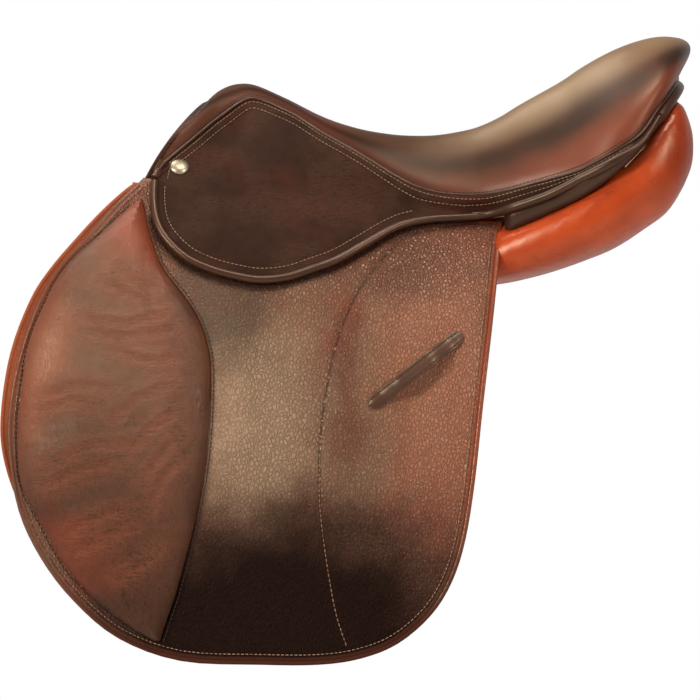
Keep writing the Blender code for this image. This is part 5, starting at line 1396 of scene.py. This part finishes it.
def buildFrontWelt(side, sign):
    # the skirt's piping runs on up the front edge of its upper part, to the corner by the nail
    column = upperRows[0]
    t = np.linspace(0, 1, len(column))[:, None]
    path = column + (0.25 + 0.75 * t ** 0.7) * (-0.0032, 0, 0) - (0, 0.0004, 0)
    path = np.concatenate([[seamLine[0] + (0.0010, 0.0004, -0.0006)], path])
    welt = tube(side + "SkirtFrontWelt", even(path, 0.0015) * (1, sign, 1), welts["skirt"] + 0.0005, 5)
    settle(welt, "welt")
    bend(welt, side)
    column = upperRows[nearestColumn(-0.2243, -1)]
    line = even(column[column[:, 2] < 0.0945], 0.001) * (1, sign, 1)
    out = np.tile(unit(np.array([0, 0.82, 0.57])) * (1, sign, 1), (len(line), 1))
    row = stitches(side + "SkirtFrontStitches", line, out, *threads["seam"], 0.0002)
    settle(row, "tan")
    bend(row, side)


def buildTailWelt(side, sign):
    columns = upperRows[upperRows[:, -1, 0] > 0.031]
    bottoms = columns[:, -1]
    ways = unit(bottoms - columns[:, -3])
    inward = unit(np.cross(ways, np.gradient(bottoms, axis=0)))
    inward = np.where(inward[:, 1:2] > 0, -inward, inward)
    path = bottoms + ways * (welts["skirt"] - 0.0004) + inward * 0.0003
    taper = 1 - 0.65 * ease((bottoms[:, 0] - 0.140) / 0.045)
    welt = tube(side + "SkirtRearWelt", path * (1, sign, 1), welts["skirt"] + 0.0009, 5, taper)
    settle(welt, "welt", "saddle", side + "_skirt_rear_welt")


bothSides("skirts", buildUpperSkirt, buildLowerSkirt, buildFrontWelt, buildTailWelt)


# Saddle nails

nailSpec = {"x": -0.214, "z": 0.093, "radius": 0.0084, "dome": 0.0034, "shank": 0.0016, "depth": 0.008}


def buildNail(side, sign):
    spec = nailSpec
    near = nearestColumn(spec["x"], 0)
    column, normals = upperRows[near], gridNormals(upperRows)[near]
    k = int(np.argmin(np.abs(column[:, 2] - spec["z"])))
    point, out = column[k], normals[k] * np.sign(normals[k][1])
    profile = [(spec["shank"], -spec["depth"]), (spec["shank"], -0.0004), (spec["radius"] * 0.94, -0.0004),
               (spec["radius"], 0.0002)]
    profile += [(spec["radius"] * math.cos(a), 0.0003 + spec["dome"] * math.sin(a))
                for a in np.radians(np.linspace(12, 88, 10))]
    across = unit(np.cross(out, (0, 0, 1)))
    up = np.cross(across, out)
    rings = np.array([[point + out * h + r * (across * math.cos(t) + up * math.sin(t))
                       for t in np.linspace(0, 2 * math.pi, 48, endpoint=False)] for r, h in profile])
    nail = ringSolid(side + "SaddleNail", rings * (1, sign, 1), 35)
    settle(nail, "nickel", "saddle", side + "_saddle_nail")


bothSides("nails", buildNail)


# Facings: the dark leather in front of the head and round the back of the cantle

facingSpec = {"first": 12, "thickness": 0.0035, "crown": 0.0058, "corner": (-0.2345, 0.0845, 0.0850)}
facingLower = np.array([(95, 35), (102, 43), (118, 60.3), (124.5, 71), (129, 85.5), (126, 103), (116, 123),
                        (101, 140), (76, 152), (40, 158.5), (0, 160)]) / 1000


def buildPommelFacing():
    # round the front of the head, with its ends running on down to the sweat flaps
    whole = np.concatenate([seatHalf[0], [facingSpec["corner"]]])
    joint = int(seatSpec["across"] * 0.84)
    right = even(whole[:joint], 0.004)
    path = np.concatenate([right[:0:-1] * (1, -1, 1), right, even(whole[joint - 1:], 0.004)[1:]])
    last = 2 * len(right) - 2
    ahead = unit(np.array([1, 0, 0.35]))
    down = unit(np.cross(unit(np.gradient(path, axis=0)), ahead))
    down = np.where(down[:, 2:] > 0, -down, down)
    section = []
    for a in np.linspace(0, 2 * math.pi, 28, endpoint=False):
        c, n = math.cos(a), math.sin(a)
        across = -0.0054 + 0.0045 * math.copysign(abs(c) ** 0.5, c)
        high = 0.0030 - 0.0020 * math.copysign(abs(n) ** 0.6, n)
        if n > 0.3:
            high += sum(0.0004 * math.exp(-(((across + bead) / 0.0005) ** 2)) for bead in (0.0030, 0.0078))
        section.append((across, high))
    steps = np.arange(len(path))
    rings = []
    for p, d, w in zip(path, down, 0.010 * ease((np.maximum(steps - last, -steps) + 4) / 6)):
        inward = unit(np.array([0.72, -0.70 * math.copysign(1, p[1]), 0.1]))
        rings.append([p + ahead * a + inward * w * (a > -0.0054) + d * h for a, h in section])
    rings = np.array(rings)
    settle(ringSolid("pommelFacing", rings[:last + 1]), "front", "saddle", "pommel_facing")
    for side, sign in sides.items():
        end = ringSolid(side + "FrontLeather", rings[last:] * (1, sign, 1))
        settle(end, "front", "saddle")


def buildCantleFacing():
    steps = seatSpec["steps"]
    begin, tailEnd = facingSpec["first"] * steps, skirtSpec["upperEnd"] * steps
    xs = seamLine[begin:, 0]
    lower = spline(facingLower, steps)
    t = (1 - np.cos(np.linspace(0, math.pi, 15))[:, None]) / 2
    outer, inner = [], []
    for k, (y, z) in enumerate(lower):
        i = begin + k
        low = np.array([xs[k], y, z])
        under = seamLine[i] + seamFall[i] * (2 * welts["seat"] + 0.0012)
        if i <= tailEnd:
            thick = min(skirtSpec["thickness"], 0.45 * upperSizes[i][2])
            top = upperRows[i][-1] + np.array([0, -thick - 0.0009, 0.0015])
            away = unit(np.array([0, 1, -0.15]))
            overhang = top - under
        else:
            top = under + overhang * (1 - ease((i - tailEnd) / (1.5 * steps)))
            away = unit(np.array([lower[k - 1][0] - lower[min(k + 1, len(lower) - 1)][0],
                                  seamLine[min(i + 1, len(seamLine) - 1)][0] - seamLine[i - 1][0], 0]))
            if k == len(lower) - 1:
                away = np.array([1.0, 0, 0])
        line = low + (top - low) * t
        start = min((xs[k] - xs[0]) / 0.006, 1)
        bulge = facingSpec["crown"] * np.sin(math.pi * t) ** 0.6 * math.sqrt(1 - (1 - start) ** 2)
        outer.append(line + away * (bulge - 0.0024 * np.exp(-t / 0.03)))
        inner.append(line - away * (facingSpec["thickness"] - 0.0006 * np.exp(-t / 0.05)))
    facing = gridSolid("cantleFacing", roundTheBack(np.array(outer)), roundTheBack(np.array(inner)), 50)
    settle(facing, "welt", "saddle", "cantle_facing")


buildPommelFacing()
buildCantleFacing()
print("facings ready")


# Panels, filled with wool flock

panelSpec = {"points": 48, "steps": 5, "square": 2.5, "clear": 0.0014, "pressure": 4.0, "most": 0.0016,
             "voxel": 0.0045}
# x, y, z, half width and half thickness in metres, and the slope in degrees
panelStations = np.array([
    (-0.238, 0.094, -0.018, 0.030, 0.006, 56), (-0.226, 0.088, -0.012, 0.056, 0.011, 55),
    (-0.200, 0.0775, -0.004, 0.067, 0.0135, 54), (-0.165, 0.071, 0.000, 0.067, 0.0140, 52),
    (-0.120, 0.068, 0.008, 0.058, 0.0165, 48), (-0.085, 0.0655, 0.014, 0.052, 0.0185, 42),
    (-0.050, 0.0645, 0.0185, 0.046, 0.0202, 36), (-0.015, 0.065, 0.021, 0.042, 0.0215, 30),
    (0.020, 0.067, 0.0225, 0.040, 0.0228, 24), (0.055, 0.070, 0.0213, 0.041, 0.0245, 10),
    (0.080, 0.075, 0.0275, 0.045, 0.0270, 4), (0.105, 0.079, 0.0361, 0.048, 0.0295, 0),
    (0.130, 0.082, 0.0477, 0.050, 0.0325, -4), (0.155, 0.083, 0.0633, 0.050, 0.0375, -6),
    (0.180, 0.082, 0.0880, 0.0485, 0.0460, -8), (0.198, 0.079, 0.1046, 0.045, 0.0495, -8),
    (0.211, 0.076, 0.1096, 0.038, 0.0350, -6), (0.219, 0.074, 0.1080, 0.025, 0.0150, -4)])


def treeAround():
    # what the panels must keep clear of, as one tree of faces
    names = ["tree_head", "tree_cantle", "gullet_plate", "head_plate", "front_girth_web", "rear_girth_web",
             "seat_web", "right_tree_rail", "right_spring_bar", "right_stirrup_bar", "right_sweat_flap",
             "right_skirt_upper"]
    points, faces = [], []
    for piece in [bpy.data.objects[name] for name in names] + [bpy.data.objects["cantleFacing"]]:
        start, firstFace = len(points), len(faces)
        points += [tuple(v.co) for v in piece.data.vertices]
        faces += [[start + i for i in face.vertices] for face in piece.data.polygons]
    return bvhtree.BVHTree.FromPolygons(points, faces), firstFace


def panelBody(around, facingFaces):
    # rings of the cushion, each point drawn in along its own ray where the tree or a leather is in the way
    middles, ways, reach = [], [], []
    power = 2 / panelSpec["square"]
    angles = np.linspace(0, 2 * math.pi, panelSpec["points"], endpoint=False)
    c, n = [np.sign(part) * np.abs(part) ** power for part in (np.cos(angles), np.sin(angles))]
    for x, y, z, wide, thick, slope in spline(panelStations, panelSpec["steps"]):
        tilt = math.radians(slope)
        out, up = np.array([0, math.cos(tilt), -math.sin(tilt)]), np.array([0, math.sin(tilt), math.cos(tilt)])
        centre = np.array([x, y, z])
        middle = centre - up * thick * 0.5
        way = centre + np.outer(c * wide, out) + np.outer(n * thick, up) - middle
        far = np.linalg.norm(way, axis=1)
        row = []
        for direction, most in zip(way, far):
            hit = around.ray_cast(Vector(middle), Vector(direction), most + 0.006)
            room = 0.0003 if hit[0] is not None and hit[2] >= facingFaces else panelSpec["clear"] + 0.0004
            row.append(most if hit[0] is None else min(most, hit[3] - room))
        middles.append([middle])
        ways.append(unit(way))
        reach.append(row)
    reach = np.array(reach)
    for _ in range(3):
        wide = np.pad(reach, ((1, 1), (0, 0)), mode="edge")
        smoothed = (wide[:-2] + 2 * wide[1:-1] + wide[2:]) / 4
        smoothed = (np.roll(smoothed, 1, axis=1) + 2 * smoothed + np.roll(smoothed, -1, axis=1)) / 4
        reach = np.minimum(reach, smoothed)
    return np.array(middles) + np.array(ways) * reach[..., None]


def buildPanel():
    around, facingFaces = treeAround()

    def held(points):
        return np.array([around.find_nearest(Vector(p), 0.0045)[0] is not None for p in points])

    panel = ringSolid("rightPanel", panelBody(around, facingFaces), 70)
    swell(panel, panelSpec, held)
    modify(panel, "SUBSURF", levels=1, render_levels=1)
    soften(panel, 70)
    return panel


rightPanel = buildPanel()
for side, panel in (("right", rightPanel), ("left", mirrored(rightPanel, "leftPanel"))):
    settle(panel, "panel", "saddle", side + "_panel")
print("panels ready")


# CAD pieces that keep their shape: the tree, its steel and the webs

kept = {
    "steel": [side + part for side in sides for part in ("_stirrup_bar", "_bar_catch", "_catch_pin", "_spring_bar")],
    "blued": ["head_plate", "gullet_plate"],
    "scrim": ["tree_head"],
    "beech": ["tree_cantle"] + [side + "_tree_rail" for side in sides],
    "web": ["seat_web", "front_girth_web", "rear_girth_web"],
}
for finish, nodes in kept.items():
    for node in nodes:
        dress(bpy.data.objects[node], finish)
print("tree and webs dressed")
